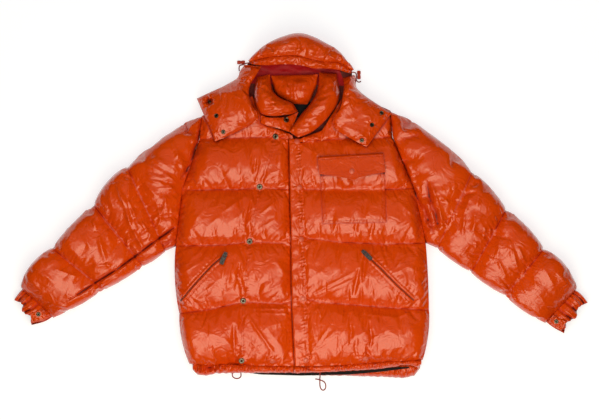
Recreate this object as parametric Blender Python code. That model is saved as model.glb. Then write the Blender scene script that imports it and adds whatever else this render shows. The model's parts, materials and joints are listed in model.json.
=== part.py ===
"""Hooded down jacket laid flat on its back, front up, hood open and sleeves spread.

Metres, +Z up, +Y towards the hood, +X towards the wearer's left sleeve. The origin lies on the
surface under the middle of the jacket. Each piece that is cut and sewn is one closed solid. A padded
panel is a pair of point grids, its outer face raised between the quilting lines over a plain inner
face. Pieces are built from the surface upwards, and each later one takes its underside from the
pieces already laid beneath it.
"""
import math
from collections import namedtuple

import bmesh
import bpy
import numpy as np
from mathutils import Matrix, Vector
from mathutils.bvhtree import BVHTree

# ---------------------------------------------------------------- driving sizes
SEAM_GAP = 0.0003            # between two pieces that are sewn together
LAY_GAP = 0.0005             # between a piece and what it lies on
BACK_THICKNESS = 0.034       # back panel, plain on both faces
HOOD_BACK_THICKNESS = 0.034
EDGE_ROUND = 0.016           # how far the back panel's flat underside stays inside its outline
HOOD_EDGE_ROUND = 0.006
SIDE_SWELL = 0.006           # how far the side bulges out between two quilting lines
PUFF_POWER = 0.55            # below 1 makes a puff full right up to its seams
SLEEVE_SLIT = 0.003          # space between the two walls of a flattened sleeve
SLIT_MARGIN = 0.12           # share of the width left between that space and a folded edge
SLIT_LEVEL = 0.019           # height of that space over the surface
CUFF_SLIT_LEVEL = 0.014
HEM_WAVE = 0.020             # length of one gather along the hem
HEM_RIPPLE = 0.0012          # how far a gather moves the hem's edge
HEM_PUCKER = 0.16            # share of the hem's thickness that a gather adds or takes
PLACKET_STEP = 0.018         # thickness of the fronts under the storm flap
RING_SNAP_RADIUS = 0.0075
CAP_SNAP_RADIUS = 0.0068
SMALL_SNAP_RADIUS = 0.0056
CORD_RADIUS = 0.00125
SHARP_ANGLE = math.radians(40)
LOCK_RADIUS = 0.0048

FRONT_FLOOR = BACK_THICKNESS + SEAM_GAP
HEM_FLOOR = FRONT_FLOOR      # inner face of the front hem bands
BAFFLE_STEPS = (0.0, 0.12, 0.30, 0.68, 0.88)    # rows between two quilting lines
SHOULDER_STEPS = (0.0, 0.25, 0.7)
SLEEVE_STEPS = (0.0, 0.10, 0.28, 0.50, 0.72, 0.90)

# ---------------------------------------------------------------- colours and finishes
Finish = namedtuple("Finish", "colour roughness metallic")
FINISHES = {
    "shell": Finish((0.58, 0.048, 0.002), 0.25, 0.0),
    "lining": Finish((0.012, 0.012, 0.014), 0.7, 0.0),
    "snap_metal": Finish((0.33, 0.32, 0.29), 0.35, 1.0),
    "snap_cap": Finish((0.66, 0.10, 0.035), 0.3, 0.0),
    "zip_metal": Finish((0.42, 0.42, 0.42), 0.3, 1.0),
    "cord": Finish((0.10, 0.022, 0.014), 0.8, 0.0),
    "cord_lock": Finish((0.50, 0.05, 0.012), 0.4, 0.0),
}

# ---------------------------------------------------------------- plan of the body
# Each armhole runs from the underarm up to the shoulder tip.
Armhole = namedtuple("Armhole", "underarm waist chest shoulder")
ARMHOLE_RIGHT = Armhole((-0.312, -0.100), (-0.296, 0.039), (-0.253, 0.166), (-0.247, 0.225))
ARMHOLE_LEFT = Armhole((0.311, -0.092), (0.281, 0.044), (0.228, 0.172), (0.223, 0.238))
NECK_RIGHT = (-0.122, 0.273)
NECK_LEFT = (0.113, 0.286)

# Quilting lines of the right front, hem first. The last row is the shoulder and the neckline.
RightLine = namedtuple("RightLine", "side neck snaps flap zip fullness")
RIGHT_LINES = (
    RightLine((-0.278, -0.394), (-0.208, -0.396), (-0.149, -0.397), (-0.016, -0.399), (-0.0040, -0.399), 1.0),
    RightLine((-0.303, -0.268), (-0.235, -0.259), (-0.144, -0.239), (-0.024, -0.244), (-0.0115, -0.244), 1.0),
    RightLine(ARMHOLE_RIGHT.underarm, (-0.188, -0.097), (-0.128, -0.089), (-0.025, -0.094), (-0.0130, -0.094),
              1.0),
    RightLine(ARMHOLE_RIGHT.waist, (-0.158, 0.041), (-0.103, 0.045), (-0.028, 0.041), (-0.0160, 0.041), 0.95),
    RightLine(ARMHOLE_RIGHT.chest, (-0.128, 0.170), (-0.063, 0.172), (-0.030, 0.166), (-0.0180, 0.166), 0.4),
    RightLine(ARMHOLE_RIGHT.shoulder, NECK_RIGHT, (-0.072, 0.203), (-0.034, 0.182), (-0.0220, 0.176), 0.0),
)
# Quilting lines of the left front, whose inner and outer columns are the edges of the chest pocket.
LeftLine = namedtuple("LeftLine", "zip sewn inner neck outer side fullness")
LEFT_LINES = (
    LeftLine((-0.0034, -0.399), (0.0205, -0.399), (0.051, -0.398), (0.113, -0.396), (0.215, -0.387),
             (0.303, -0.384), 1.0),
    LeftLine((-0.0110, -0.234), (0.0130, -0.233), (0.054, -0.240), (0.113, -0.245), (0.212, -0.253),
             (0.319, -0.260), 1.0),
    LeftLine((-0.0127, -0.080), (0.0060, -0.080), (0.055, -0.085), (0.113, -0.091), (0.214, -0.095),
             ARMHOLE_LEFT.underarm, 1.0),
    LeftLine((-0.0154, 0.041), (0.0020, 0.041), (0.051, 0.041), (0.113, 0.041), (0.213, 0.041),
             ARMHOLE_LEFT.waist, 0.95),
    LeftLine((-0.0173, 0.158), (-0.0030, 0.158), (0.046, 0.163), (0.113, 0.168), (0.205, 0.170),
             ARMHOLE_LEFT.chest, 0.4),
    LeftLine((-0.0177, 0.168), (-0.0020, 0.168), (0.052, 0.188), NECK_LEFT, (0.180, 0.256),
             ARMHOLE_LEFT.shoulder, 0.0),
)
# Rows of the plain back panel, hem first.
BackLine = namedtuple("BackLine", "right neck_right neck_left left")
BACK_LINES = (
    BackLine((-0.278, -0.394), (-0.120, -0.398), (0.110, -0.397), (0.303, -0.384)),
    BackLine((-0.303, -0.268), (-0.120, -0.262), (0.110, -0.262), (0.319, -0.260)),
    BackLine(ARMHOLE_RIGHT.underarm, (-0.120, -0.095), (0.110, -0.095), ARMHOLE_LEFT.underarm),
    BackLine(ARMHOLE_RIGHT.waist, (-0.120, 0.042), (0.110, 0.043), ARMHOLE_LEFT.waist),
    BackLine(ARMHOLE_RIGHT.chest, (-0.120, 0.168), (0.110, 0.170), ARMHOLE_LEFT.chest),
    BackLine(ARMHOLE_RIGHT.shoulder, NECK_RIGHT, NECK_LEFT, ARMHOLE_LEFT.shoulder),
)
UNDERARM_ROW = 2             # rows up to this one have a free side that swells

# A column of points across a front: which two of a line's points it lies between, its share of the way,
# its thickness on a quilting line, how much a puff adds, and its share of the side's swell.
Column = namedtuple("Column", "span share seam puff swell")
RIGHT_COLUMNS = (
    Column(0, 0.00, 0.006, 0.003, 1.0), Column(0, 0.09, 0.013, 0.016, 0.8),
    Column(0, 0.28, 0.018, 0.026, 0.4), Column(0, 0.62, 0.018, 0.028, 0.0),
    Column(1, 0.00, 0.018, 0.028, 0.0), Column(1, 0.50, 0.018, 0.025, 0.0),
    Column(1, 0.86, 0.017, 0.019, 0.0), Column(2, 0.00, 0.015, 0.008, 0.0),
    Column(2, 0.14, 0.017, 0.019, 0.0), Column(2, 0.50, 0.018, 0.024, 0.0),
    Column(2, 0.82, 0.018, 0.014, 0.0), Column(3, 0.00, PLACKET_STEP, 0.0, 0.0),
    Column(3, 1.00, PLACKET_STEP, 0.0, 0.0),
)
LEFT_COLUMNS = (
    Column(0, 0.00, PLACKET_STEP, 0.0, 0.0), Column(0, 1.00, PLACKET_STEP, 0.0, 0.0),
    Column(1, 0.28, 0.018, 0.014, 0.0), Column(2, 0.00, 0.018, 0.022, 0.0),
    Column(2, 0.50, 0.018, 0.026, 0.0), Column(3, 0.00, 0.018, 0.028, 0.0),
    Column(3, 0.50, 0.018, 0.028, 0.0), Column(4, 0.00, 0.018, 0.027, 0.0),
    Column(4, 0.42, 0.018, 0.026, 0.2), Column(4, 0.74, 0.017, 0.022, 0.5),
    Column(4, 0.91, 0.012, 0.013, 0.8), Column(4, 1.00, 0.006, 0.003, 1.0),
)
BACK_COLUMNS = (
    Column(0, 0.0, BACK_THICKNESS, 0.0, -1.0), Column(0, 0.5, BACK_THICKNESS, 0.0, 0.0),
    Column(1, 0.0, BACK_THICKNESS, 0.0, 0.0), Column(1, 0.5, BACK_THICKNESS, 0.0, 0.0),
    Column(2, 0.0, BACK_THICKNESS, 0.0, 0.0), Column(2, 0.5, BACK_THICKNESS, 0.0, 0.0),
    Column(2, 1.0, BACK_THICKNESS, 0.0, 1.0),
)
POCKET_FIRST, POCKET_LAST = 3, 7      # columns of the left front under the chest pocket

# Storm flap rows, hem first: height up the front, free edge, sewn edge.
FlapLine = namedtuple("FlapLine", "y free sewn")
FLAP_LINES = (
    FlapLine(-0.3985, -0.0160, 0.0205), FlapLine(-0.237, -0.0235, 0.0130),
    FlapLine(-0.083, -0.0250, 0.0060), FlapLine(0.041, -0.0280, 0.0020),
    FlapLine(0.166, -0.0300, -0.0030),
)
FLAP_SEAM, FLAP_PUFF = 0.005, 0.010

# ---------------------------------------------------------------- sleeves
# Sections down a sleeve, from the armhole to the cuff: quilting line, puff, quilting line and so on.
Fold = namedtuple("Fold", "lower upper rise")
SLEEVE_RIGHT = (
    Fold(ARMHOLE_RIGHT.underarm, ARMHOLE_RIGHT.shoulder, 0.046),
    Fold((-0.323, -0.103), (-0.343, 0.167), 0.078),
    Fold((-0.338, -0.111), (-0.432, 0.096), 0.050), Fold((-0.365, -0.130), (-0.477, 0.065), 0.080),
    Fold((-0.395, -0.149), (-0.516, 0.002), 0.048), Fold((-0.443, -0.179), (-0.579, -0.058), 0.078),
    Fold((-0.492, -0.208), (-0.619, -0.105), 0.046), Fold((-0.552, -0.243), (-0.673, -0.148), 0.074),
    Fold((-0.618, -0.280), (-0.700, -0.203), 0.034),
)
SLEEVE_LEFT = (
    Fold(ARMHOLE_LEFT.underarm, ARMHOLE_LEFT.shoulder, 0.046),
    Fold((0.323, -0.095), (0.334, 0.168), 0.078),
    Fold((0.340, -0.104), (0.426, 0.084), 0.050), Fold((0.384, -0.136), (0.475, 0.035), 0.080),
    Fold((0.425, -0.164), (0.510, -0.010), 0.048), Fold((0.463, -0.192), (0.569, -0.062), 0.078),
    Fold((0.510, -0.222), (0.604, -0.108), 0.046), Fold((0.557, -0.259), (0.656, -0.146), 0.074),
    Fold((0.610, -0.293), (0.689, -0.206), 0.034),
)
CUFF_RIGHT = (
    Fold((-0.6215, -0.2767), (-0.6960, -0.2067), 0.028), Fold((-0.640, -0.288), (-0.706, -0.218), 0.036),
    Fold((-0.668, -0.294), (-0.7125, -0.230), 0.030),
)
CUFF_LEFT = (
    Fold((0.6130, -0.2897), (0.6858, -0.2096), 0.028), Fold((0.630, -0.303), (0.700, -0.220), 0.036),
    Fold((0.652, -0.314), (0.712, -0.236), 0.030),
)
CUFF_GATHERS = 12
CUFF_GATHER_DEPTH = 0.0022
CUFF_LOBE = 0.005            # how far the cuff's end runs in and out

# ---------------------------------------------------------------- hem
HemEdge = namedtuple("HemEdge", "x y")
HEM_RIGHT_EDGE = (HemEdge(-0.270, -0.409), HemEdge(-0.258, -0.421), HemEdge(-0.236, -0.423),
                  HemEdge(-0.212, -0.4175), HemEdge(-0.150, -0.4165), HemEdge(-0.0185, -0.4160))
HEM_LEFT_EDGE = (HemEdge(-0.0175, -0.4170), HemEdge(0.060, -0.4150), HemEdge(0.135, -0.4105),
                 HemEdge(0.178, -0.4080), HemEdge(0.225, -0.4030), HemEdge(0.247, -0.3985),
                 HemEdge(0.272, -0.3975), HemEdge(0.292, -0.4030), HemEdge(0.300, -0.3960))
HEM_BACK_EDGE = (HemEdge(-0.270, -0.406), HemEdge(-0.240, -0.410), HemEdge(-0.170, -0.4135),
                 HemEdge(-0.135, -0.4170), HemEdge(-0.100, -0.4215), HemEdge(0.000, -0.4235),
                 HemEdge(0.120, -0.4250), HemEdge(0.200, -0.4275), HemEdge(0.262, -0.4300),
                 HemEdge(0.284, -0.4240), HemEdge(0.298, -0.4060))
HEM_LINING_EDGE = (HemEdge(-0.140, -0.4145), HemEdge(-0.100, -0.4195), HemEdge(0.000, -0.4215),
                   HemEdge(0.120, -0.4190), HemEdge(0.200, -0.4120), HemEdge(0.270, -0.4040))
HEM_LINING_TOP = -0.402
LINING_THICKNESS = 0.0013

# ---------------------------------------------------------------- collar, hood and pockets
# A laid pad's section: its two edges in plan and its thickness at the middle.
Pad = namedtuple("Pad", "left right rise")
COLLAR_BACK = (
    Pad((-0.018, 0.2545), (0.015, 0.2535), 0.010), Pad((-0.045, 0.267), (0.024, 0.266), 0.026),
    Pad((-0.064, 0.284), (0.032, 0.284), 0.032), Pad((-0.070, 0.303), (0.039, 0.303), 0.030),
    Pad((-0.074, 0.325), (0.042, 0.328), 0.014),
)
COLLAR_RIGHT = (
    Pad((-0.110, 0.322), (-0.078, 0.328), 0.030), Pad((-0.115, 0.300), (-0.074, 0.302), 0.044),
    Pad((-0.116, 0.275), (-0.068, 0.284), 0.050), Pad((-0.112, 0.250), (-0.050, 0.268), 0.050),
    Pad((-0.098, 0.229), (-0.033, 0.261), 0.046), Pad((-0.070, 0.223), (-0.020, 0.254), 0.040),
    Pad((-0.040, 0.226), (-0.012, 0.243), 0.028), Pad((-0.022, 0.229), (-0.008, 0.236), 0.014),
)
COLLAR_LEFT = (
    Pad((0.046, 0.333), (0.089, 0.330), 0.030), Pad((0.043, 0.302), (0.095, 0.300), 0.044),
    Pad((0.036, 0.277), (0.096, 0.275), 0.050), Pad((0.019, 0.250), (0.088, 0.250), 0.050),
    Pad((0.003, 0.233), (0.072, 0.226), 0.046), Pad((-0.008, 0.217), (0.048, 0.200), 0.040),
    Pad((-0.020, 0.198), (0.022, 0.181), 0.030), Pad((-0.028, 0.184), (-0.008, 0.170), 0.014),
)
COLLAR_TAB = (
    Pad((-0.101, 0.206), (-0.099, 0.225), 0.006), Pad((-0.083, 0.199), (-0.080, 0.220), 0.008),
    Pad((-0.060, 0.194), (-0.060, 0.220), 0.008), Pad((-0.038, 0.187), (-0.036, 0.222), 0.008),
    Pad((-0.026, 0.183), (-0.022, 0.222), 0.005),
)
HOOD_SIDE_RIGHT = (
    Pad((-0.143, 0.348), (-0.098, 0.341), 0.016), Pad((-0.152, 0.336), (-0.114, 0.321), 0.022),
    Pad((-0.159, 0.319), (-0.126, 0.301), 0.026), Pad((-0.180, 0.306), (-0.129, 0.277), 0.028),
    Pad((-0.196, 0.297), (-0.119, 0.247), 0.028), Pad((-0.216, 0.288), (-0.106, 0.216), 0.027),
    Pad((-0.238, 0.278), (-0.150, 0.188), 0.022), Pad((-0.260, 0.268), (-0.213, 0.160), 0.009),
)
HOOD_SIDE_LEFT = (
    Pad((0.104, 0.319), (0.133, 0.3275), 0.014), Pad((0.107, 0.300), (0.137, 0.316), 0.020),
    Pad((0.103, 0.270), (0.138, 0.296), 0.026), Pad((0.097, 0.243), (0.150, 0.282), 0.028),
    Pad((0.080, 0.214), (0.168, 0.268), 0.028), Pad((0.085, 0.191), (0.186, 0.256), 0.026),
    Pad((0.122, 0.168), (0.206, 0.243), 0.020), Pad((0.163, 0.146), (0.225, 0.230), 0.009),
)
NECK_LINING = (Pad((-0.030, 0.227), (0.022, 0.214), LINING_THICKNESS),
               Pad((-0.040, 0.260), (0.030, 0.260), LINING_THICKNESS))
HOOD_BACK = (
    Pad((-0.120, 0.2755), (0.112, 0.2885), 0.0), Pad((-0.142, 0.305), (0.128, 0.305), 0.0),
    Pad((-0.144, 0.330), (0.128, 0.322), 0.0), Pad((-0.132, 0.352), (0.122, 0.340), 0.0),
    Pad((-0.094, 0.386), (0.087, 0.382), 0.0), Pad((-0.058, 0.407), (0.041, 0.407), 0.0),
    Pad((-0.022, 0.421), (0.010, 0.421), 0.0),
)
# Sections across the hood: the outer edge, the seam with the brim, the brim's edge, the crown's height.
HoodArch = namedtuple("HoodArch", "outline seam edge rise")
HOOD_ARCHES = (
    HoodArch((-0.131, 0.3610), (-0.127, 0.3585), (-0.128, 0.3545), 0.020),
    HoodArch((-0.112, 0.3770), (-0.108, 0.3640), (-0.107, 0.3505), 0.044),
    HoodArch((-0.083, 0.3990), (-0.082, 0.3690), (-0.079, 0.3495), 0.060),
    HoodArch((-0.045, 0.4180), (-0.050, 0.3720), (-0.042, 0.3515), 0.068),
    HoodArch((-0.006, 0.4275), (-0.010, 0.3725), (-0.004, 0.3495), 0.070),
    HoodArch((0.030, 0.4180), (0.022, 0.3645), (0.029, 0.3415), 0.069),
    HoodArch((0.062, 0.4000), (0.055, 0.3580), (0.055, 0.3412), 0.064),
    HoodArch((0.094, 0.3800), (0.090, 0.3570), (0.091, 0.3385), 0.054),
    HoodArch((0.115, 0.3570), (0.111, 0.3480), (0.110, 0.3335), 0.036),
    HoodArch((0.132, 0.3390), (0.127, 0.3370), (0.124, 0.3300), 0.018),
)
CROWN_WALL = 0.024
BRIM_WALL = 0.017
BRIM_GATHER = 0.0016
BRIM_GATHERS = 14

POCKET_THICKNESS = 0.0035
POCKET_FLAP_THICKNESS = 0.0045
POCKET_FLAP_POINT = 0.013

# ---------------------------------------------------------------- small hard pieces
# Snaps: a ring socket, a dyed cap or a small gunmetal one.
Snap = namedtuple("Snap", "name kind x y")
SNAPS = (
    Snap("snap_ring_1", "ring", -0.037, 0.214), Snap("snap_ring_2", "ring", -0.063, 0.173),
    Snap("snap_ring_3", "ring", -0.103, 0.048), Snap("snap_ring_4", "ring", -0.128, -0.088),
    Snap("snap_ring_5", "ring", -0.144, -0.236), Snap("snap_ring_6", "ring", -0.148, -0.385),
    Snap("snap_cap_2", "cap", -0.003, 0.046), Snap("snap_cap_3", "cap", 0.001, -0.083),
    Snap("snap_cap_4", "cap", 0.005, -0.231), Snap("snap_cap_5", "cap", 0.012, -0.384),
    Snap("snap_cap_6", "cap", -0.071, -0.386), Snap("snap_cap_7", "cap", 0.160, -0.379),
    Snap("snap_cap_8", "cap", 0.126, 0.086), Snap("snap_cap_1", "cap", -0.010, 0.160),
    Snap("snap_hood_right_1", "small", -0.228, 0.259), Snap("snap_hood_right_2", "small", -0.210, 0.224),
    Snap("snap_hood_right_3", "small", -0.193, 0.184), Snap("snap_hood_left_1", "small", 0.200, 0.231),
    Snap("snap_hood_left_2", "small", 0.176, 0.201), Snap("snap_hood_left_3", "small", 0.151, 0.163),
    Snap("snap_cuff_right", "small", -0.655, -0.270), Snap("snap_cuff_left", "small", 0.637, -0.288),
)
CUFF_TAB_RIGHT = (
    Pad((-0.632, -0.279), (-0.641, -0.258), 0.003), Pad((-0.672, -0.291), (-0.676, -0.268), 0.003),
)
CUFF_TAB_LEFT = (
    Pad((0.615, -0.292), (0.628, -0.272), 0.003), Pad((0.650, -0.312), (0.663, -0.289), 0.003),
)

# Turned profiles of the snaps: radius and height, both as shares of the snap's radius.
SNAP_PROFILES = {
    "ring": ((0.0, 0.16), (0.36, 0.16), (0.42, 0.34), (0.74, 0.40), (1.0, 0.20), (1.0, 0.0)),
    "cap": ((0.0, 0.50), (0.55, 0.44), (0.90, 0.24), (1.0, 0.0)),
    "small": ((0.0, 0.20), (0.34, 0.22), (0.46, 0.40), (0.86, 0.34), (1.0, 0.0)),
}
SNAP_RADII = {"ring": RING_SNAP_RADIUS, "cap": CAP_SNAP_RADIUS, "small": SMALL_SNAP_RADIUS}
SNAP_SIDES = 12

# Hand-pocket zips: the open line from below the slider to its lower end, and the pull tab's direction.
Zip = namedtuple("Zip", "line slider pull_end")
ZIP_RIGHT = Zip(((-0.194, -0.125), (-0.220, -0.147), (-0.263, -0.193), (-0.300, -0.237)),
                (-0.1885, -0.1205), (-0.200, -0.147))
ZIP_LEFT = Zip(((0.161, -0.120), (0.198, -0.155), (0.240, -0.198), (0.281, -0.235)),
               (0.1560, -0.1150), (0.178, -0.137))
ZIP_TAPE_WIDTH = 0.011
ZIP_TAPE_THICKNESS = 0.0012
SLIDER_LENGTH, SLIDER_WIDTH, SLIDER_HEIGHT = 0.012, 0.0085, 0.0020
ARCH_LENGTH, ARCH_WIDTH, ARCH_HEIGHT = 0.0078, 0.0026, 0.0046
ARCH_HOLE_LENGTH, ARCH_HOLE_LOW, ARCH_HOLE_HIGH = 0.0046, 0.0004, 0.0032
PULL_AXIS_HEIGHT = SLIDER_HEIGHT + 0.0018
PULL_LENGTH, PULL_WIDTH, PULL_THICKNESS = 0.027, 0.0110, 0.0016
PULL_BAR = 0.0008            # half the bar that turns in the slider's arch
PULL_WINDOW_LENGTH, PULL_WINDOW_WIDTH = 0.0072, 0.0064
PULL_CORNER = 0.0018

# Cord routes, from where each cord leaves its channel. The loose parts lie on the surface.
CORD_ROUTES = {
    "hem_cord_right": ((-0.1710, -0.4172, 0.0400), (-0.1712, -0.4225, 0.0390), (-0.1690, -0.4270, 0.0370),
                       (-0.1640, -0.4300, 0.0350), (-0.1580, -0.4305, 0.0345), (-0.1525, -0.4280, 0.0355),
                       (-0.1498, -0.4235, 0.0380), (-0.1500, -0.4170, 0.0400)),
    "hem_cord_left": ((0.0475, -0.4150, 0.0400), (0.0475, -0.4215, 0.0395), (0.0475, -0.4262, 0.0350),
                      (0.0474, -0.4285, 0.0240), (0.0473, -0.4292, 0.0120), (0.0472, -0.4315, 0.0040),
                      (0.0472, -0.4370, 0.0015), (0.0475, -0.4500, 0.0015), (0.0500, -0.4580, 0.0015),
                      (0.0555, -0.4618, 0.0015), (0.0605, -0.4580, 0.0015), (0.0622, -0.4510, 0.0015),
                      (0.0600, -0.4430, 0.0020), (0.0550, -0.4385, 0.0042), (0.0472, -0.4355, 0.0060),
                      (0.0415, -0.4340, 0.0035), (0.0360, -0.4335, 0.0015)),
    "hood_cord_right": ((-0.1283, 0.3565, 0.0450), (-0.1340, 0.3562, 0.0440), (-0.1385, 0.3556, 0.0340),
                        (-0.1415, 0.3548, 0.0180), (-0.1450, 0.3538, 0.0055), (-0.1500, 0.3533, 0.0018),
                        (-0.1540, 0.3510, 0.0015), (-0.1552, 0.3450, 0.0015), (-0.1545, 0.3380, 0.0015)),
    "hood_cord_left": ((0.1260, 0.3335, 0.0440), (0.1315, 0.3332, 0.0435), (0.1358, 0.3322, 0.0340),
                       (0.1378, 0.3308, 0.0180), (0.1384, 0.3280, 0.0055), (0.1384, 0.3230, 0.0016),
                       (0.1386, 0.3165, 0.0015), (0.1415, 0.3118, 0.0015), (0.1465, 0.3105, 0.0015),
                       (0.1505, 0.3130, 0.0015)),
}
CORD_POINT_STEP = 0.003
Lock = namedtuple("Lock", "name start end")
CORD_LOCKS = (Lock("cord_lock_right", (-0.140, 0.3600), (-0.160, 0.3595)),
              Lock("cord_lock_left", (0.1450, 0.3175), (0.1448, 0.3390)))
LOCK_PROFILE = ((0.0, 0.0), (0.0, 0.72), (0.10, 1.0), (0.40, 1.0), (0.5, 0.86), (0.60, 1.0), (0.90, 1.0),
                (1.0, 0.72), (1.0, 0.0))

LAID = []                    # search trees of the pieces laid so far


# ---------------------------------------------------------------- solids from grids of points
def finish_material(name):
    """The material of one finish, made once."""
    if name in bpy.data.materials:
        return bpy.data.materials[name]
    finish = FINISHES[name]
    material = bpy.data.materials.new(name)
    material.use_nodes = True
    shader = material.node_tree.nodes["Principled BSDF"]
    shader.inputs["Base Color"].default_value = (*finish.colour, 1.0)
    shader.inputs["Roughness"].default_value = finish.roughness
    shader.inputs["Metallic"].default_value = finish.metallic
    return material


def add_solid(name, points, faces, finish):
    """One named object from points and faces, its normals turned outwards."""
    mesh = bpy.data.meshes.new(name)
    mesh.from_pydata([tuple(point) for point in points], [], faces)
    shape = bmesh.new()
    shape.from_mesh(mesh)
    bmesh.ops.recalc_face_normals(shape, faces=shape.faces)
    shape.to_mesh(mesh)
    shape.free()
    mesh.shade_smooth()
    mesh.set_sharp_from_angle(angle=SHARP_ANGLE)
    mesh.materials.append(finish_material(finish))
    piece = bpy.data.objects.new(name, mesh)
    bpy.context.scene.collection.objects.link(piece)
    triangles = BVHTree.FromPolygons([tuple(point) for point in points], faces)
    LAID.append(triangles)
    return piece


def grid_faces(rows, columns, start=0, closed=False):
    """Triangles over a grid of points, all split along the same diagonal."""
    faces = []
    for row in range(rows - 1):
        for column in range(columns if closed else columns - 1):
            near = start + row * columns
            far = near + columns
            after = (column + 1) % columns
            faces.append((near + column, near + after, far + after))
            faces.append((near + column, far + after, far + column))
    return faces


def border(rows, columns):
    """Indices round the edge of a grid, in order."""
    top = [column for column in range(columns)]
    right = [row * columns + columns - 1 for row in range(1, rows)]
    low = [(rows - 1) * columns + column for column in range(columns - 2, -1, -1)]
    left = [row * columns for row in range(rows - 2, 0, -1)]
    return top + right + low + left


def slab(name, top, bottom, finish):
    """A closed panel between two grids of the same size, joined round the edge."""
    rows, columns = len(top), len(top[0])
    points = [point for row in top + bottom for point in row]
    count = rows * columns
    faces = grid_faces(rows, columns) + grid_faces(rows, columns, count)
    edge = border(rows, columns)
    for here, after in zip(edge, edge[1:] + edge[:1]):
        faces.append((here, after, count + after))
        faces.append((here, count + after, count + here))
    return add_solid(name, points, faces, finish)


def tube(name, outer, inner, finish):
    """A closed wall between two stacks of rings, joined by an annulus at each end."""
    sides = len(outer[0])
    points = [point for ring in outer + inner for point in ring]
    inner_start = len(outer) * sides
    faces = grid_faces(len(outer), sides, 0, True) + grid_faces(len(inner), sides, inner_start, True)
    ends = ((0, inner_start), (inner_start - sides, inner_start + (len(inner) - 1) * sides))
    for outside, inside in ends:
        for side in range(sides):
            after = (side + 1) % sides
            faces.append((outside + side, outside + after, inside + after))
            faces.append((outside + side, inside + after, inside + side))
    return add_solid(name, points, faces, finish)


def turned(name, profile, place, finish, sides=SNAP_SIDES):
    """A solid of revolution about its local Z, from (radius, height) pairs that start and end on Z."""
    rings = [(radius, height) for radius, height in profile if radius > 0]
    points = [place @ Vector((0, 0, profile[0][1])), place @ Vector((0, 0, profile[-1][1]))]
    for radius, height in rings:
        for side in range(sides):
            turn = 2 * math.pi * side / sides
            points.append(place @ Vector((radius * math.cos(turn), radius * math.sin(turn), height)))
    faces = grid_faces(len(rings), sides, 2, True)
    last = 2 + (len(rings) - 1) * sides
    for side in range(sides):
        after = (side + 1) % sides
        faces.append((0, 2 + side, 2 + after))
        faces.append((1, last + side, last + after))
    return add_solid(name, points, faces, finish)


# ---------------------------------------------------------------- helpers in plan
def between(first, second, share):
    """The point a share of the way from one (x, y) to another."""
    return Vector(first).lerp(Vector(second), share)


def along(points, steps):
    """Tuples of numbers read from a smooth curve through the given ones, ends kept."""
    control = [np.array(points[0])] + [np.array(point) for point in points] + [np.array(points[-1])]
    curve = []
    for before, first, second, after in zip(control, control[1:], control[2:], control[3:]):
        for step in range(steps):
            t = step / steps
            curve.append(0.5 * (2 * first + (second - before) * t
                                + (2 * before - 5 * first + 4 * second - after) * t ** 2
                                + (3 * first - before - 3 * second + after) * t ** 3))
    curve.append(control[-1])
    return [tuple(float(value) for value in point) for point in curve]


def crest(share):
    """Height of a puff, 0 on both seams and 1 in the middle."""
    return math.sin(math.pi * min(max(share, 0.0), 1.0)) ** PUFF_POWER if 0 < share < 1 else 0.0


def dome(share):
    """A rounded rise from 0 at an edge to 1 at a share of 1."""
    return math.sqrt(max(0.0, 1 - (1 - min(max(share, 0.0), 1.0)) ** 2))


def surface_height(x, y):
    """Height of the highest piece laid so far over a point in plan, or 0 for the bare surface."""
    start = Vector((x, y, 1.0))
    hits = [tree.ray_cast(start, Vector((0, 0, -1))) for tree in LAID]
    return max([hit[0].z for hit in hits if hit[0] is not None], default=0.0)


def resting_height(x, y, reach):
    """The highest surface within reach of a point, plus the laying gap."""
    heights = [surface_height(x, y)]
    for ring in (0.5, 1.0):
        for side in range(8):
            turn = math.pi * side / 4
            step = Vector((math.cos(turn), math.sin(turn))) * ring * reach
            heights.append(surface_height(x + step.x, y + step.y))
    return max(heights) + LAY_GAP


def neighbours(grid):
    """Nine copies of a grid of heights, each moved by one step or none each way."""
    rows, columns = grid.shape
    padded = np.pad(grid, 1, mode="edge")
    return np.array([padded[row:row + rows, column:column + columns]
                     for row in range(3) for column in range(3)])


def eased(levels, rounds):
    """Heights that change gently and never come below the given ones."""
    grid = np.array(levels)
    for _ in range(rounds):
        grid = neighbours(neighbours(grid).max(axis=0)).mean(axis=0)
    return grid


def strip_footprint(start, end, half_width, spare):
    """Samples under a strip along local X: lengthwise, crosswise and the height kept free above the plane."""
    return [(float(x), float(y), spare) for x in np.linspace(start, end, 5)
            for y in np.linspace(-half_width, half_width, 5)]


def round_footprint(radius):
    """Samples under a disc."""
    turns = [math.pi * step / 6 for step in range(12)]
    return [(0.0, 0.0, 0.0)] + [(share * radius * math.cos(turn), share * radius * math.sin(turn), 0.0)
                                for share in (0.5, 1.0) for turn in turns]


def perch(x, y, heading, footprint):
    """A frame on the plane that just clears the surface under a small footprint. Local X is the heading."""
    forward = Vector((heading[0], heading[1], 0)).normalized()
    across = Vector((-forward.y, forward.x, 0))
    samples = []
    for lengthwise, crosswise, spare in footprint:
        spot = Vector((x, y, 0)) + forward * lengthwise + across * crosswise
        samples.append((lengthwise, crosswise, surface_height(spot.x, spot.y) - spare))
    samples = np.array(samples)
    system = np.column_stack([samples[:, 0], samples[:, 1], np.ones(len(samples))])
    slope_forward, slope_across, level = np.linalg.lstsq(system, samples[:, 2], rcond=None)[0]
    lift = float(np.max(samples[:, 2] - system @ np.array([slope_forward, slope_across, level])))
    local_x = (forward + Vector((0, 0, float(slope_forward)))).normalized()
    normal = local_x.cross(across + Vector((0, 0, float(slope_across)))).normalized()
    frame = Matrix((local_x, normal.cross(local_x), normal)).transposed().to_4x4()
    frame.translation = Vector((x, y, float(level) + lift + SEAM_GAP))
    return frame


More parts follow.
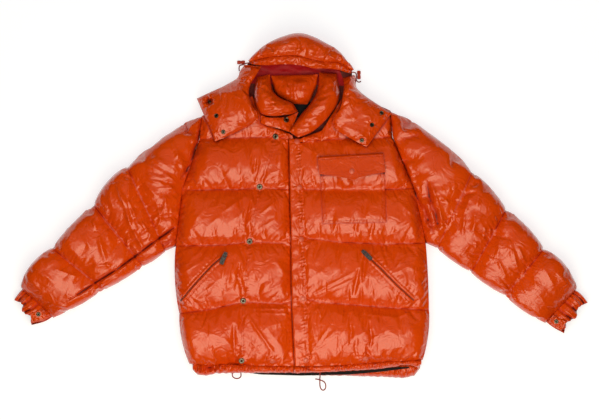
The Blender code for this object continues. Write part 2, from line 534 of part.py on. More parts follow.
# ---------------------------------------------------------------- body
def plan_rows(lines, columns, steps_of_row):
    """Rows of (puff share, fullness, points in plan) between quilting lines, hem first."""
    rows = []
    for row, (line, above) in enumerate(zip(lines, lines[1:])):
        for share in steps_of_row(row):
            swell = SIDE_SWELL * crest(share) if row < UNDERARM_ROW else 0.0
            points = []
            for column in columns:
                low = between(line[column.span], line[column.span + 1], column.share)
                high = between(above[column.span], above[column.span + 1], column.share)
                point = low.lerp(high, share)
                outward = math.copysign(1.0, point.x)
                points.append(point + Vector((outward * swell * abs(column.swell), 0)))
            rows.append((share, getattr(line, "fullness", 0.0), points))
    last = [between(lines[-1][column.span], lines[-1][column.span + 1], column.share) for column in columns]
    rows.append((0.0, 0.0, last))
    return rows


def steps_of_front(row):
    return BAFFLE_STEPS if row < 4 else SHOULDER_STEPS


def build_front(name, lines, columns):
    """A quilted front: a plain inner face under puffs between the quilting lines. Returns its top grid."""
    top, bottom = [], []
    for share, fullness, points in plan_rows(lines, columns, steps_of_front):
        lift = crest(share) * fullness
        top.append([Vector((*point, FRONT_FLOOR + column.seam + column.puff * lift))
                    for point, column in zip(points, columns)])
        bottom.append([Vector((*point, FRONT_FLOOR)) for point in points])
    slab(name, top, bottom, "shell")
    return top


def flat_backed(name, outline_rows, thickness, drawn_in, finish):
    """A panel that lies on the surface, its underside flat and drawn in from its outline."""
    rows, columns = len(outline_rows), len(outline_rows[0])
    centre = sum((point for row in outline_rows for point in row), Vector((0, 0))) / (rows * columns)
    top, bottom = [], []
    for row_number, row in enumerate(outline_rows):
        top.append([Vector((*point, thickness)) for point in row])
        under = []
        for column_number, point in enumerate(row):
            at_edge = row_number in (0, rows - 1) or column_number in (0, columns - 1)
            inward = (centre - point).normalized() * drawn_in if at_edge else Vector((0, 0))
            under.append(Vector((*(point + inward), 0.0)))
        bottom.append(under)
    slab(name, top, bottom, finish)


def build_back():
    rows = plan_rows(BACK_LINES, BACK_COLUMNS, lambda row: (0.0, 0.5))
    flat_backed("back_panel", [points for _, _, points in rows], BACK_THICKNESS, EDGE_ROUND, "shell")


def build_placket():
    """The storm flap over the front zip, puffed between its snaps."""
    floor = FRONT_FLOOR + PLACKET_STEP + SEAM_GAP
    cross = ((0.0, 0.3), (0.12, 0.9), (0.5, 1.0), (0.86, 0.8), (1.0, 0.2))
    top, bottom = [], []
    for line, above in zip(FLAP_LINES, FLAP_LINES[1:]):
        for share in BAFFLE_STEPS:
            y, free, sewn = (low + (high - low) * share for low, high in zip(line, above))
            rise = FLAP_PUFF * crest(share)
            top.append([Vector((free + (sewn - free) * part, y, floor + FLAP_SEAM + rise * full))
                        for part, full in cross])
            bottom.append([Vector((point.x, point.y, floor)) for point in top[-1]])
    end = FLAP_LINES[-1]
    top.append([Vector((end.free + (end.sewn - end.free) * part, end.y, floor + FLAP_SEAM))
                for part, _ in cross])
    bottom.append([Vector((point.x, point.y, floor)) for point in top[-1]])
    slab("placket", top, bottom, "shell")


def edge_height(edge, x):
    return float(np.interp(x, [point.x for point in edge], [point.y for point in edge]))


def build_hem(name, seam, edge, floor, seam_rise, channel_rise, drawn_in):
    """A gathered hem channel from its seam line down to its edge."""
    start, end = edge[0].x, edge[-1].x
    waves = round((end - start) / HEM_WAVE)
    stations = waves * 4
    top, bottom = [], []
    for station in range(stations + 1):
        x = start + (end - start) * station / stations
        ripple = math.sin(math.pi * station / 2)
        seam_y = edge_height(seam, x) - SEAM_GAP
        low_y = edge_height(edge, x) + HEM_RIPPLE * ripple
        middle_y = 0.45 * seam_y + 0.55 * low_y
        crown = floor + channel_rise * (1.0 + HEM_PUCKER * ripple)
        top.append([Vector((x, seam_y, floor + seam_rise)), Vector((x, middle_y, crown)),
                    Vector((x, low_y, floor + 0.55 * channel_rise))])
        bottom.append([Vector((x, seam_y, floor)), Vector((x, middle_y, floor)),
                       Vector((x, low_y + drawn_in, floor))])
    slab(name, top, bottom, "shell")


def seam_line(line, fields):
    """The hem seam as edge points, left to right, from a quilting line's named points."""
    return sorted(HemEdge(*getattr(line, field)) for field in fields)


def build_hems():
    right_seam = seam_line(RIGHT_LINES[0], ("side", "neck", "snaps", "flap", "zip"))
    left_seam = seam_line(LEFT_LINES[0], ("zip", "sewn", "inner", "neck", "outer", "side"))
    back_seam = seam_line(BACK_LINES[0], ("right", "neck_right", "neck_left", "left"))
    build_hem("hem_back", back_seam, HEM_BACK_EDGE, 0.0, 0.026, 0.0275, 0.003)
    lining_stations = np.linspace(HEM_LINING_EDGE[0].x, HEM_LINING_EDGE[-1].x, 13)
    level = HEM_FLOOR - SEAM_GAP - LINING_THICKNESS
    grid = [[Vector((float(x), HEM_LINING_TOP, level)),
             Vector((float(x), edge_height(HEM_LINING_EDGE, x), level))] for x in lining_stations]
    raised = [[point + Vector((0, 0, LINING_THICKNESS)) for point in row] for row in grid]
    slab("lining_hem", raised, grid, "lining")
    build_hem("hem_front_right", right_seam, HEM_RIGHT_EDGE, HEM_FLOOR, 0.013, 0.019, 0.0)
    build_hem("hem_front_left", left_seam, HEM_LEFT_EDGE, HEM_FLOOR, 0.013, 0.019, 0.0)


# ---------------------------------------------------------------- sleeves and cuffs
def armhole_point(armhole, share):
    """A point up the armhole, by its share of the height from underarm to shoulder."""
    y = armhole.underarm[1] + (armhole.shoulder[1] - armhole.underarm[1]) * share
    return Vector((float(np.interp(y, [point[1] for point in armhole], [point[0] for point in armhole])), y))


def sleeve_profile(armhole):
    """A flattened sleeve's section: share across from the underarm side, and share of its height."""
    low, high = armhole.underarm[1], armhole.shoulder[1]
    waist, chest = ((point[1] - low) / (high - low) for point in (armhole.waist, armhole.chest))
    over = [(0.0, 0.42), (0.03, 0.68), (0.11, 0.88), (0.25, 0.98), (waist, 1.0), (0.62, 1.0),
            (chest, 0.94), (0.93, 0.76), (1.0, 0.42)]
    under = [(0.985, 0.14), (0.94, 0.0), (chest, 0.0), (waist, 0.0), (0.06, 0.0), (0.015, 0.14)]
    return over + under


def section_ring(lower, upper, rise, profile, place):
    return [Vector((*place(lower, upper, across), rise * height)) for across, height in profile]


def drawn_across(across):
    """A share across a sleeve, moved inside its two folded edges."""
    from_edge = min(across, 1 - across)
    moved = max(from_edge, SLIT_MARGIN * (0.7 + 0.3 * from_edge / SLIT_MARGIN))
    return moved if across < 0.5 else 1 - moved


def slit_ring(lower, upper, profile, place):
    """The ring of the flat space inside a sleeve."""
    ring = []
    for across, height in profile:
        half = SLEEVE_SLIT / 2 if height > 0.4 else -SLEEVE_SLIT / 2
        ring.append(Vector((*place(lower, upper, drawn_across(across)), SLIT_LEVEL + half)))
    return ring


def quadratic(first, middle, last, share):
    """A value on the parabola through three values at shares 0, 0.5 and 1."""
    return (first * (1 - share) * (1 - 2 * share) + middle * 4 * share * (1 - share)
            + last * share * (2 * share - 1))


def build_sleeve(name, folds, armhole):
    profile = sleeve_profile(armhole)
    outward = math.copysign(SEAM_GAP, armhole.underarm[0])
    outer, inner = [], []
    for number in range(0, len(folds) - 1, 2):
        seam, puff, after = folds[number:number + 3]
        last = number == len(folds) - 3
        for share in SLEEVE_STEPS + ((1.0,) if last else ()):
            lower, upper = (quadratic(Vector(getattr(seam, side)), Vector(getattr(puff, side)),
                                      Vector(getattr(after, side)), share) for side in ("lower", "upper"))
            seam_rise = seam.rise + (after.rise - seam.rise) * share
            rise = seam_rise + (puff.rise - (seam.rise + after.rise) / 2) * crest(share)
            curved = 1 - share if number == 0 else 0.0

            def place(low, high, across, curved=curved):
                straight = between(armhole.underarm, armhole.shoulder, across)
                bend = (armhole_point(armhole, across) - straight) * curved
                return between(low, high, across) + bend + Vector((outward, 0))

            outer.append(section_ring(lower, upper, rise, profile, place))
            if share in (0.0, 0.50, 1.0):
                inner.append(slit_ring(lower, upper, profile, place))
    tube(name, outer, inner, "shell")


def build_cuff(name, folds):
    """The elastic cuff, gathered, its end running in and out."""
    sides = CUFF_GATHERS * 2
    outer, inner = [], []
    axis = (between(folds[-1].lower, folds[-1].upper, 0.5) - between(folds[0].lower, folds[0].upper, 0.5)).normalized()
    for number, fold in enumerate(folds):
        ring, hollow = [], []
        for side in range(sides):
            turn = 2 * math.pi * side / sides
            across = 0.5 - 0.5 * math.cos(turn)
            gather = CUFF_GATHER_DEPTH * (1 if side % 2 else -1) * (0.3 + 0.7 * number / 2)
            spot = between(fold.lower, fold.upper, across)
            spot += axis * (CUFF_LOBE * math.cos(4 * math.pi * across) * (number == 2) + SEAM_GAP)
            height = max(0.0, fold.rise * (0.5 + 0.56 * math.sin(turn)))
            lift = gather if height > 0 and math.sin(turn) > -0.2 else 0.0
            ring.append(Vector((*spot, height + lift)))
            inside = between(fold.lower, fold.upper, 0.5 + (across - 0.5) * 0.62) + axis * (spot - between(
                fold.lower, fold.upper, across)).dot(axis)
            half = math.copysign(SLEEVE_SLIT / 2, math.sin(turn + 0.01))
            hollow.append(Vector((*inside, CUFF_SLIT_LEVEL + half)))
        outer.append(ring)
        inner.append(hollow)
    tube(name, outer, inner, "shell")


# ---------------------------------------------------------------- pads laid on the body
PAD_CROSS = ((0.0, 0.12), (0.08, 0.5), (0.26, 0.88), (0.5, 1.0), (0.74, 0.88), (0.92, 0.5), (1.0, 0.12))
STRIP_CROSS = ((0.0, 0.7), (0.5, 1.0), (1.0, 0.7))


def lay_pad(name, pads, steps, cross, reach, lowest, ease, finish="shell", end_share=0.35):
    """A padded strip through a table of sections, lying on whatever is beneath it."""
    table = along([(*pad.left, *pad.right, pad.rise) for pad in pads], steps)
    spots = [[between(row[:2], row[2:4], across) for across, _ in cross] for row in table]
    levels = [[max(lowest, resting_height(spot.x, spot.y, reach)) for spot in row] for row in spots]
    levels = eased(levels, ease)
    top, bottom = [], []
    for number, (row, row_spots) in enumerate(zip(table, spots)):
        end = end_share if number in (0, len(table) - 1) else 1.0
        row_levels = [float(level) for level in levels[number]]
        bottom.append([Vector((*spot, level)) for spot, level in zip(row_spots, row_levels)])
        top.append([Vector((*spot, level + row[4] * full * end))
                    for spot, level, (_, full) in zip(row_spots, row_levels, cross)])
    slab(name, top, bottom, finish)


def build_hood_back():
    rows = [[between(pad.left, pad.right, share) for share in (0.0, 0.25, 0.5, 0.75, 1.0)] for pad in HOOD_BACK]
    flat_backed("hood_back", rows, HOOD_BACK_THICKNESS, HOOD_EDGE_ROUND, "shell")


def build_hood_arch():
    """The crown, rising from the hood's back over the opening, and the gathered brim at its edge."""
    floor = HOOD_BACK_THICKNESS + LAY_GAP
    table = along([(*arch.outline, *arch.seam, *arch.edge, arch.rise) for arch in HOOD_ARCHES], 4)
    crown_top, crown_low, brim_top, brim_low = [], [], [], []
    for number, row in enumerate(table):
        outline, seam, edge, rise = row[:2], row[2:4], row[4:6], row[6]
        over, under = [], []
        for share in (0.0, 0.06, 0.2, 0.45, 0.72, 1.0):
            spot = between(outline, seam, share)
            over.append(Vector((*spot, floor + 0.006 + (rise - 0.006) * dome(share))))
            inside = dome((share - 0.3) / 0.7)
            under.append(Vector((*spot, floor + max(0.0, rise - CROWN_WALL) * inside)))
        crown_top.append(over)
        crown_low.append(under)
        gather = BRIM_GATHER * math.sin(2 * math.pi * BRIM_GATHERS * number / (len(table) - 1))
        over, under = [], []
        for share, full in ((0.0, 0.95), (0.35, 1.06), (0.75, 1.0), (1.0, 0.80)):
            seam_gap_share = SEAM_GAP / (Vector(seam) - Vector(edge)).length
            spot = between(seam, edge, share + seam_gap_share * (1 - share))
            over.append(Vector((*spot, floor + rise * full + gather * share)))
            under.append(Vector((*spot, floor + max(0.0, rise * (1.0 - 0.12 * (1 - full)) - BRIM_WALL))))
        brim_top.append(over)
        brim_low.append(under)
    slab("hood_crown", crown_top, crown_low, "shell")
    slab("hood_brim", brim_top, brim_low, "shell")


# ---------------------------------------------------------------- pockets, zips and snaps
def build_chest_pocket(front_top):
    """The patch and its pointed flap, made from the left front's own points, moved out."""
    columns = slice(POCKET_FIRST, POCKET_LAST + 1)
    rows_per_baffle = len(BAFFLE_STEPS)
    patch_first, patch_last = 2 * rows_per_baffle + 2, 3 * rows_per_baffle + 2
    flap_last = 3 * rows_per_baffle + 3
    patch = [row[columns] for row in front_top[patch_first:patch_last + 1]]
    low = [[point + Vector((0, 0, SEAM_GAP)) for point in row] for row in patch]
    high = [[point + Vector((0, 0, POCKET_THICKNESS)) for point in row] for row in low]
    slab("pocket_patch", high, low, "shell")
    seam_row, fold_row = (front_top[number][columns] for number in (flap_last, patch_last))
    lift = Vector((0, 0, POCKET_THICKNESS + 2 * SEAM_GAP))
    flap_low = []
    for share in (0.0, 0.5, 1.0):
        flap_low.append([high_point.lerp(low_point, share) + lift
                         for high_point, low_point in zip(seam_row, fold_row)])
    count = len(fold_row) - 1
    flap_low.append([point + Vector((0, -0.003 - POCKET_FLAP_POINT * (1 - abs(2 * number / count - 1)), 0.0012))
                     for number, point in enumerate(flap_low[-1])])
    flap_high = [[point + Vector((0, 0, POCKET_FLAP_THICKNESS)) for point in row] for row in flap_low]
    slab("pocket_flap", flap_high, flap_low, "shell")


def build_zip_tape(name, line):
    path = along(line, 4)
    pads = []
    for number, point in enumerate(path):
        before, after = Vector(path[max(number - 1, 0)]), Vector(path[min(number + 1, len(path) - 1)])
        side = (after - before).normalized().orthogonal() * (ZIP_TAPE_WIDTH / 2)
        pads.append(Pad(tuple(Vector(point) - side), tuple(Vector(point) + side), ZIP_TAPE_THICKNESS))
    lay_pad(name, pads, 1, STRIP_CROSS, 0.006, 0.0, 0, "cord", 1.0)


def box_points(length, width, low, high):
    """The eight corners of a box centred on Z, at two heights."""
    return [Vector((x * length / 2, y * width / 2, z)) for z in (low, high)
            for x, y in ((-1, -1), (1, -1), (1, 1), (-1, 1))]


BOX_FACES = ((0, 1, 2, 3), (4, 5, 6, 7), (0, 1, 5, 4), (1, 2, 6, 5), (2, 3, 7, 6), (3, 0, 4, 7))


def frame_ring(length, height, low):
    """A rounded rectangle in the local XZ plane, centred on X, from its low edge upwards."""
    corner = min(length, height) * 0.22
    ring = []
    for centre_x, centre_z, first in ((1, 1, 0), (-1, 1, 1), (-1, -1, 2), (1, -1, 3)):
        for step in range(3):
            turn = math.pi / 2 * (first + step / 2)
            ring.append(((length / 2 - corner) * centre_x + corner * math.cos(turn),
                         low + height / 2 + (height / 2 - corner) * centre_z + corner * math.sin(turn)))
    return ring


def build_slider(name, frame):
    """A slider body with the arch that its pull tab turns in."""
    outer_ring = frame_ring(ARCH_LENGTH, ARCH_HEIGHT + 0.001, SLIDER_HEIGHT - 0.001)
    hole_ring = frame_ring(ARCH_HOLE_LENGTH, ARCH_HOLE_HIGH - ARCH_HOLE_LOW, SLIDER_HEIGHT + ARCH_HOLE_LOW)
    rings = [[[frame @ Vector((x, side * ARCH_WIDTH / 2, z)) for x, z in ring] for side in (-1, 1)]
             for ring in (outer_ring, hole_ring)]
    arch = tube(name + "_arch", rings[0], rings[1], "zip_metal")
    arch.hide_render = True
    arch.display_type = "WIRE"
    body = add_solid(name, [frame @ point for point in box_points(SLIDER_LENGTH, SLIDER_WIDTH, 0.0, SLIDER_HEIGHT)],
                     BOX_FACES, "zip_metal")
    joined = body.modifiers.new("arch", "BOOLEAN")
    joined.operation = "UNION"
    joined.object = arch


def pull_loop(start, end, half_width, corner, height):
    """A rounded rectangle in the plane of the pull tab."""
    ring = []
    middle, half = (start + end) / 2, (end - start) / 2
    for sign_x, sign_y, first in ((1, 1, 0), (-1, 1, 1), (-1, -1, 2), (1, -1, 3)):
        for step in range(3):
            turn = math.pi / 2 * (first + step / 2)
            ring.append(Vector((middle + (half - corner) * sign_x + corner * math.cos(turn),
                                (half_width - corner) * sign_y + corner * math.sin(turn), height)))
    return ring


def build_pull(name, frame):
    """The pull tab: a plate with a window whose top bar turns in the slider's arch."""
    rings = []
    for start, end, half_width, corner in (
            (-PULL_BAR, PULL_LENGTH, PULL_WIDTH / 2, PULL_CORNER),
            (PULL_BAR, PULL_BAR + PULL_WINDOW_LENGTH, PULL_WINDOW_WIDTH / 2, PULL_CORNER / 2)):
        rings.append([[frame @ point for point in pull_loop(start, end, half_width, min(corner, PULL_CORNER),
                                                            PULL_AXIS_HEIGHT + height)]
                      for height in (-PULL_THICKNESS / 2, PULL_THICKNESS / 2)])
    hinge = bpy.data.objects.new(name + "_hinge", None)
    hinge.empty_display_size = 0.01
    hinge.matrix_world = frame @ Matrix.Translation((0, 0, PULL_AXIS_HEIGHT))
    bpy.context.scene.collection.objects.link(hinge)
    tab = tube(name, rings[0], rings[1], "zip_metal")
    tab.parent = hinge
    tab.matrix_parent_inverse = hinge.matrix_world.inverted()


def build_zips():
    for side, line in (("right", ZIP_RIGHT), ("left", ZIP_LEFT)):
        build_zip_tape("zip_" + side, line.line)
    for side, line in (("right", ZIP_RIGHT), ("left", ZIP_LEFT)):
        heading = Vector(line.pull_end) - Vector(line.slider)
        under_slider = strip_footprint(-SLIDER_LENGTH / 2, SLIDER_LENGTH / 2, SLIDER_WIDTH / 2, 0.0)
        under_pull = strip_footprint(SLIDER_LENGTH / 2, PULL_LENGTH, PULL_WIDTH / 2,
                                     PULL_AXIS_HEIGHT - PULL_THICKNESS / 2)
        frame = perch(*line.slider, heading, under_slider + under_pull)
        build_slider("zip_slider_" + side, frame)
        build_pull("zip_pull_" + side, frame)


def build_snap(snap):
    radius = SNAP_RADII[snap.kind]
    frame = perch(snap.x, snap.y, (1, 0), round_footprint(radius))
    profile = [(share * radius, height * radius) for share, height in SNAP_PROFILES[snap.kind]] + [(0.0, 0.0)]
    turned(snap.name, profile, frame, "snap_cap" if snap.kind == "cap" else "snap_metal")


# ---------------------------------------------------------------- cords
def build_cord(name, route):
    """A cord as a tube along a smooth curve through its route."""
    smooth = along(route, 8)
    lengths = np.cumsum([0.0] + [(Vector(b) - Vector(a)).length for a, b in zip(smooth, smooth[1:])])
    count = max(4, round(lengths[-1] / CORD_POINT_STEP))
    wanted = np.linspace(0.0, lengths[-1], count + 1)
    columns = [np.interp(wanted, lengths, [point[axis] for point in smooth]) for axis in range(3)]
    curve = bpy.data.curves.new(name, "CURVE")
    curve.dimensions = "3D"
    curve.bevel_depth = CORD_RADIUS
    curve.bevel_resolution = 2
    curve.use_fill_caps = True
    spline = curve.splines.new("POLY")
    spline.points.add(count)
    for point, x, y, z in zip(spline.points, *columns):
        point.co = (float(x), float(y), float(z), 1.0)
    curve.materials.append(finish_material("cord"))
    cord = bpy.data.objects.new(name, curve)
    bpy.context.scene.collection.objects.link(cord)


def build_lock(lock):
    """A barrel cord lock lying on the surface."""
    start, end = Vector((*lock.start, LOCK_RADIUS + SEAM_GAP)), Vector((*lock.end, LOCK_RADIUS + SEAM_GAP))
    frame = (end - start).to_track_quat("Z", "Y").to_matrix().to_4x4()
    frame.translation = start
    length = (end - start).length
    profile = [(radius * LOCK_RADIUS, share * length) for share, radius in LOCK_PROFILE]
    turned(lock.name, profile, frame, "cord_lock")


def clear_scene():
    for thing in list(bpy.data.objects):
        bpy.data.objects.remove(thing, do_unlink=True)


def build_jacket():
    build_back()
    build_hood_back()
    build_sleeve("sleeve_right", SLEEVE_RIGHT, ARMHOLE_RIGHT)
    build_sleeve("sleeve_left", SLEEVE_LEFT, ARMHOLE_LEFT)
    build_cuff("cuff_right", CUFF_RIGHT)
    build_cuff("cuff_left", CUFF_LEFT)
    build_front("front_right", RIGHT_LINES, RIGHT_COLUMNS)
    left_top = build_front("front_left", LEFT_LINES, LEFT_COLUMNS)
    build_hems()
    build_placket()
    build_chest_pocket(left_top)
    lay_pad("lining_neck", NECK_LINING, 1, STRIP_CROSS, 0.001, 0.0, 0, "lining", 1.0)
    lay_pad("collar_back", COLLAR_BACK, 2, PAD_CROSS, 0.006, FRONT_FLOOR + LAY_GAP, 1)
    lay_pad("collar_tab", COLLAR_TAB, 2, STRIP_CROSS, 0.012, 0.0, 1)
    lay_pad("collar_right", COLLAR_RIGHT, 2, PAD_CROSS, 0.008, FRONT_FLOOR + LAY_GAP, 1)
    lay_pad("collar_left", COLLAR_LEFT, 2, PAD_CROSS, 0.008, FRONT_FLOOR + LAY_GAP, 1)
    lay_pad("hood_side_right", HOOD_SIDE_RIGHT, 2, PAD_CROSS, 0.014, 0.020, 1)
    lay_pad("hood_side_left", HOOD_SIDE_LEFT, 2, PAD_CROSS, 0.014, 0.020, 1)
    build_hood_arch()
    lay_pad("cuff_tab_right", CUFF_TAB_RIGHT, 3, STRIP_CROSS, 0.009, 0.004, 0, "shell", 1.0)
    lay_pad("cuff_tab_left", CUFF_TAB_LEFT, 3, STRIP_CROSS, 0.009, 0.004, 0, "shell", 1.0)
    build_zips()
    for snap in SNAPS:
        build_snap(snap)
    for name, route in CORD_ROUTES.items():
        build_cord(name, route)
    for lock in CORD_LOCKS:
        build_lock(lock)


clear_scene()
build_jacket()
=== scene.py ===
"""Looks of a hooded down jacket laid flat: glossy nylon puffs, gathers, stitching, snaps, zips and cords."""
import json
import math

import bmesh
import bpy
import numpy as np
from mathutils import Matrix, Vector
from mathutils.bvhtree import BVHTree

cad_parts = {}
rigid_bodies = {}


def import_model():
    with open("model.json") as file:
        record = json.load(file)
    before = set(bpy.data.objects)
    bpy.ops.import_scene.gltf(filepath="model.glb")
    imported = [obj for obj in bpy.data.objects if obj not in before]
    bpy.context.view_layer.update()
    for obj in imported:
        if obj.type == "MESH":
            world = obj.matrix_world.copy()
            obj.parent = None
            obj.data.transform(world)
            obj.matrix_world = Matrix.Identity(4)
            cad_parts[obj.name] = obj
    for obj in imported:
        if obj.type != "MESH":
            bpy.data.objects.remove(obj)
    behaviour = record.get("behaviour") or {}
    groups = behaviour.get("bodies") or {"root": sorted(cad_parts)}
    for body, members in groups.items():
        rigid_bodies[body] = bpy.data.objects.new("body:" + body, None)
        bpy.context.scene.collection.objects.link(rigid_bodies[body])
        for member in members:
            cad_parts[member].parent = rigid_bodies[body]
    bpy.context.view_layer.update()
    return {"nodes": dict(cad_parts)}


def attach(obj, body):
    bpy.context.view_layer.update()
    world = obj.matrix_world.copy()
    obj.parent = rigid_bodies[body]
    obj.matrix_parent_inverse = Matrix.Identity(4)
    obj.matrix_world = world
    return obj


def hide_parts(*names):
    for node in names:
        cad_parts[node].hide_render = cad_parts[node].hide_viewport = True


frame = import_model()
NODES = frame["nodes"]
BODY = "jacket"

# ---------------------------------------------------------------- sizes, in metres
FRONT_FLOOR = 0.0343         # inner face of the fronts
BACK_TOP = 0.0340            # upper face of the back layer
HOOD_TOP = 0.0342            # and of the hood's layer
FLAP_TOP = 0.0662            # crest of the storm flap
PUFF_POWER = 0.72            # below 1 makes a puff full right up to its seams
FOLD_GAIN = 2.1              # pressed folds: height over the height in their table
FOLD_SPREAD = 0.3            # what is added to their half width, in millimetres
FOLD_MARGIN = 12             # how far beside a panel they still count, in millimetres
FOLD_SHADE = 0.6             # the darkest painted shade in a pressed-in groove
SNAP_REACH = 0.013           # a snap further above or below the cloth isn't on it
CORD_RADIUS = 0.0015
LOCK_RADIUS = 0.0048
CREST_DIP = 0.0056           # how far the storm flap's crest drops at a quilting line
POCKET_FLAP_POINT = 0.016    # how far the middle of its lower edge hangs down
POCKET_FLAP_THICKNESS = 0.0019
POCKET_FLAP_SLOPE = 0.10     # how fast it falls toward the hood
PATCH_UNDER_FLAP, FRONT_UNDER_FLAP = 0.0030, 0.0048    # how far these are kept below it
HEM_LINING_TOP = -0.402      # where the back hem's facing goes under the front
HOOD_BULGE = 0.026           # how far the hood's inner face curves up under the crown
HOOD_LOOSE = 0.330           # from here up it hangs loose
HOOD_SIDE_EDGE = (0.0035, 0.005)    # height and width of the side flaps' rolled edge
GATHER_REACH = 0.019         # how far the gathers run from a quilting line
FRONT_GATHER, SLEEVE_GATHER, HEM_GATHER = 0.0008, 0.0009, 0.0030
QUILTING_GROOVE = (0.0003, 0.0017)  # depth and half width
HEM_STEP = 0.0012            # points along the hem
STITCH = (0.0036, (0.00040, 0.00032, 0.00135))    # pitch, then half the thread's width, height and length
TEETH = (0.0017, (0.0008, 0.0005, 0.00048))       # the same of the zips' teeth
GUIDE_STEP = 0.0025          # step of the straight lines that stitches follow
EDGE_STITCHES = (0.0030, 0.0080)    # two rows inside a sewn edge
FLAP_STITCHES = (0.0025, 0.0070)    # and below the top of the pocket's flap
PATCH_STITCHES = (0.020, 0.075)     # share of the way to the patch's middle
ZIP_STITCHES = 0.0100        # the row round a pocket's opening, from its zip
STITCH_LIFT, TOOTH_LIFT, TAPE_LIFT = 0.0002, 0.0004, 0.0006
TOOTH_ROW = 0.0008           # each row of teeth from the middle of its zip
TAPE_HALF_WIDTH, TAPE_THICKNESS = 0.0017, 0.0014
# level and thickness of the thin sheets
SHEETS = {"facing_hem": (0.0340, 0.0009), "facing_neck": (0.0356, 0.0010), "hood_inside": (0.0347, 0.0006)}

# cloth simulation, worked on ten times enlarged
SIM_SCALE = 10.0
SIM_FRAMES = 22
MOTION_CAP = 0.013           # furthest that a point may move
GROWTH = 0.035               # how much larger the cloth is cut than the space it spans
CLOTH = {"quality": 5, "mass": 0.15, "air_damping": 3.0, "tension_stiffness": 15.0,
         "compression_stiffness": 15.0, "shear_stiffness": 5.0, "bending_stiffness": 1.0,
         "vertex_group_mass": "held", "shrink_min": -GROWTH, "shrink_max": -GROWTH, "use_pressure": True,
         "uniform_pressure_force": 1.2}

# camera and stage
VIEW_CENTRE = (-0.0025, -0.010)
LENS, SENSOR = 200.0, 36.0   # millimetres
PICTURE_WIDTH = 1.5          # how much the view takes in, at a level of SHARP_LEVEL
SHARP_LEVEL = 0.02
FLOOR = 40.0                 # half the ground's side
ROOM_COLOUR, ROOM_STRENGTH = (1.0, 0.70, 0.30, 1), 0.04
# where it hangs, what it points at, its two sides, power, colour, and whether it shows in the gloss
LIGHTS = {
    "softbox": ((0.0, -0.95, 1.58), (0.0, 0.10, 0.0), (1.9, 2.0), 15.0, (1.0, 0.88, 0.66), True),
    "key": ((0.0, -0.93, 1.55), (0.0, 0.10, 0.0), (1.3, 1.2), 10.8, (1.0, 0.88, 0.66), True),
    "overhead": ((0.0, 0.6, 2.6), (0.0, 0.0, 0.0), (3.0, 3.0), 51, (0.93, 0.97, 1.0), False),
}
# dark and light colour, least roughness, and how metallic where not wholly
METALS = {
    "gunmetal": ((0.10, 0.09, 0.07), (0.27, 0.25, 0.19), 0.3),
    "nickel": ((0.20, 0.18, 0.14), (0.46, 0.43, 0.36), 0.25),
    "pull_steel": ((0.07, 0.062, 0.058), (0.20, 0.18, 0.17), 0.25, 0.5),
}

# ---------------------------------------------------------------- plan tables, in millimetres
def metres(table):
    """A table in millimetres, nested to any depth, turned into metres."""
    if isinstance(table, dict):
        return {name: metres(entry) for name, entry in table.items()}
    if isinstance(table, tuple):
        return tuple(metres(entry) for entry in table)
    return round(table / 1000, 6)


ARMHOLE_RIGHT = metres(((-312, -100), (-296, 39), (-253, 166), (-247, 225)))
ARMHOLE_LEFT = metres(((311, -92), (281, 44), (228, 172), (223, 238)))
# quilting lines from the hem up: side, neck column, snap seam, storm flap's edge, zip
RIGHT_LINES = metres((
    ((-278, -394), (-208, -396), (-149, -397), (-16, -399), (-4, -399)),
    ((-303, -268), (-235, -259), (-144, -239), (-24, -244), (-11.5, -244)),
    ((-312, -100), (-188, -97), (-128, -89), (-25, -94), (-13, -94)),
    ((-296, 39), (-158, 41), (-103, 45), (-28, 41), (-16, 41)),
    ((-253, 166), (-128, 170), (-63, 172), (-30, 166), (-18, 166)),
    ((-247, 225), (-122, 273), (-72, 203), (-34, 182), (-22, 176))))
# zip, storm flap's seam, pocket's inner edge, neck column, pocket's outer edge, side
LEFT_LINES = metres((
    ((-3.4, -399), (20.5, -399), (51, -398), (113, -396), (215, -387), (303, -384)),
    ((-11, -234), (13, -233), (54, -240), (113, -245), (212, -253), (319, -260)),
    ((-12.7, -80), (6, -80), (55, -85), (113, -91), (214, -95), (311, -92)),
    ((-15.4, 41), (2, 41), (51, 41), (113, 41), (213, 41), (281, 44)),
    ((-17.3, 158), (-3, 158), (46, 163), (113, 168), (205, 170), (228, 172)),
    ((-17.7, 168), (-2, 168), (52, 188), (113, 286), (180, 256), (223, 238))))
# the storm flap's free edge and its seam
FLAP_LINES = metres((
    ((-16, -398.5), (20.5, -398.5)), ((-23.5, -237), (13, -237)), ((-25, -83), (6, -83)),
    ((-28, 41), (2, 41)), ((-30, 166), (-3, 166))))
# how many cells lie between two lines
ROW_CELLS = (36, 38, 35, 32, 14)
RIGHT_CELLS = (26, 15, 26, 3)
LEFT_CELLS = (6, 12, 15, 24, 22)
FLAP_CELLS = (130, 124, 100, 100)
SLEEVE_CELLS = (20, 24, 24, 24)
# sleeve sections, seam and puff in turn: lower edge, upper edge, height
SLEEVE_RIGHT = metres((
    ((-312, -100), (-247, 225), 46), ((-323, -103), (-343, 167), 78),
    ((-338, -111), (-432, 96), 50), ((-365, -130), (-477, 65), 80),
    ((-395, -149), (-516, 2), 48), ((-443, -179), (-579, -58), 78),
    ((-492, -208), (-619, -105), 46), ((-552, -243), (-673, -148), 74),
    ((-618, -280), (-700, -203), 34)))
SLEEVE_LEFT = metres((
    ((311, -92), (223, 238), 46), ((323, -95), (334, 168), 78),
    ((340, -104), (426, 84), 50), ((384, -136), (475, 35), 80),
    ((425, -164), (510, -10), 48), ((463, -192), (569, -62), 78),
    ((510, -222), (604, -108), 46), ((557, -259), (656, -146), 74),
    ((610, -293), (689, -206), 34)))
CUFF_RIGHT = metres((
    ((-621.5, -276.7), (-696, -206.7), 28), ((-640, -288), (-706, -218), 36),
    ((-668, -294), (-712.5, -230), 30)))
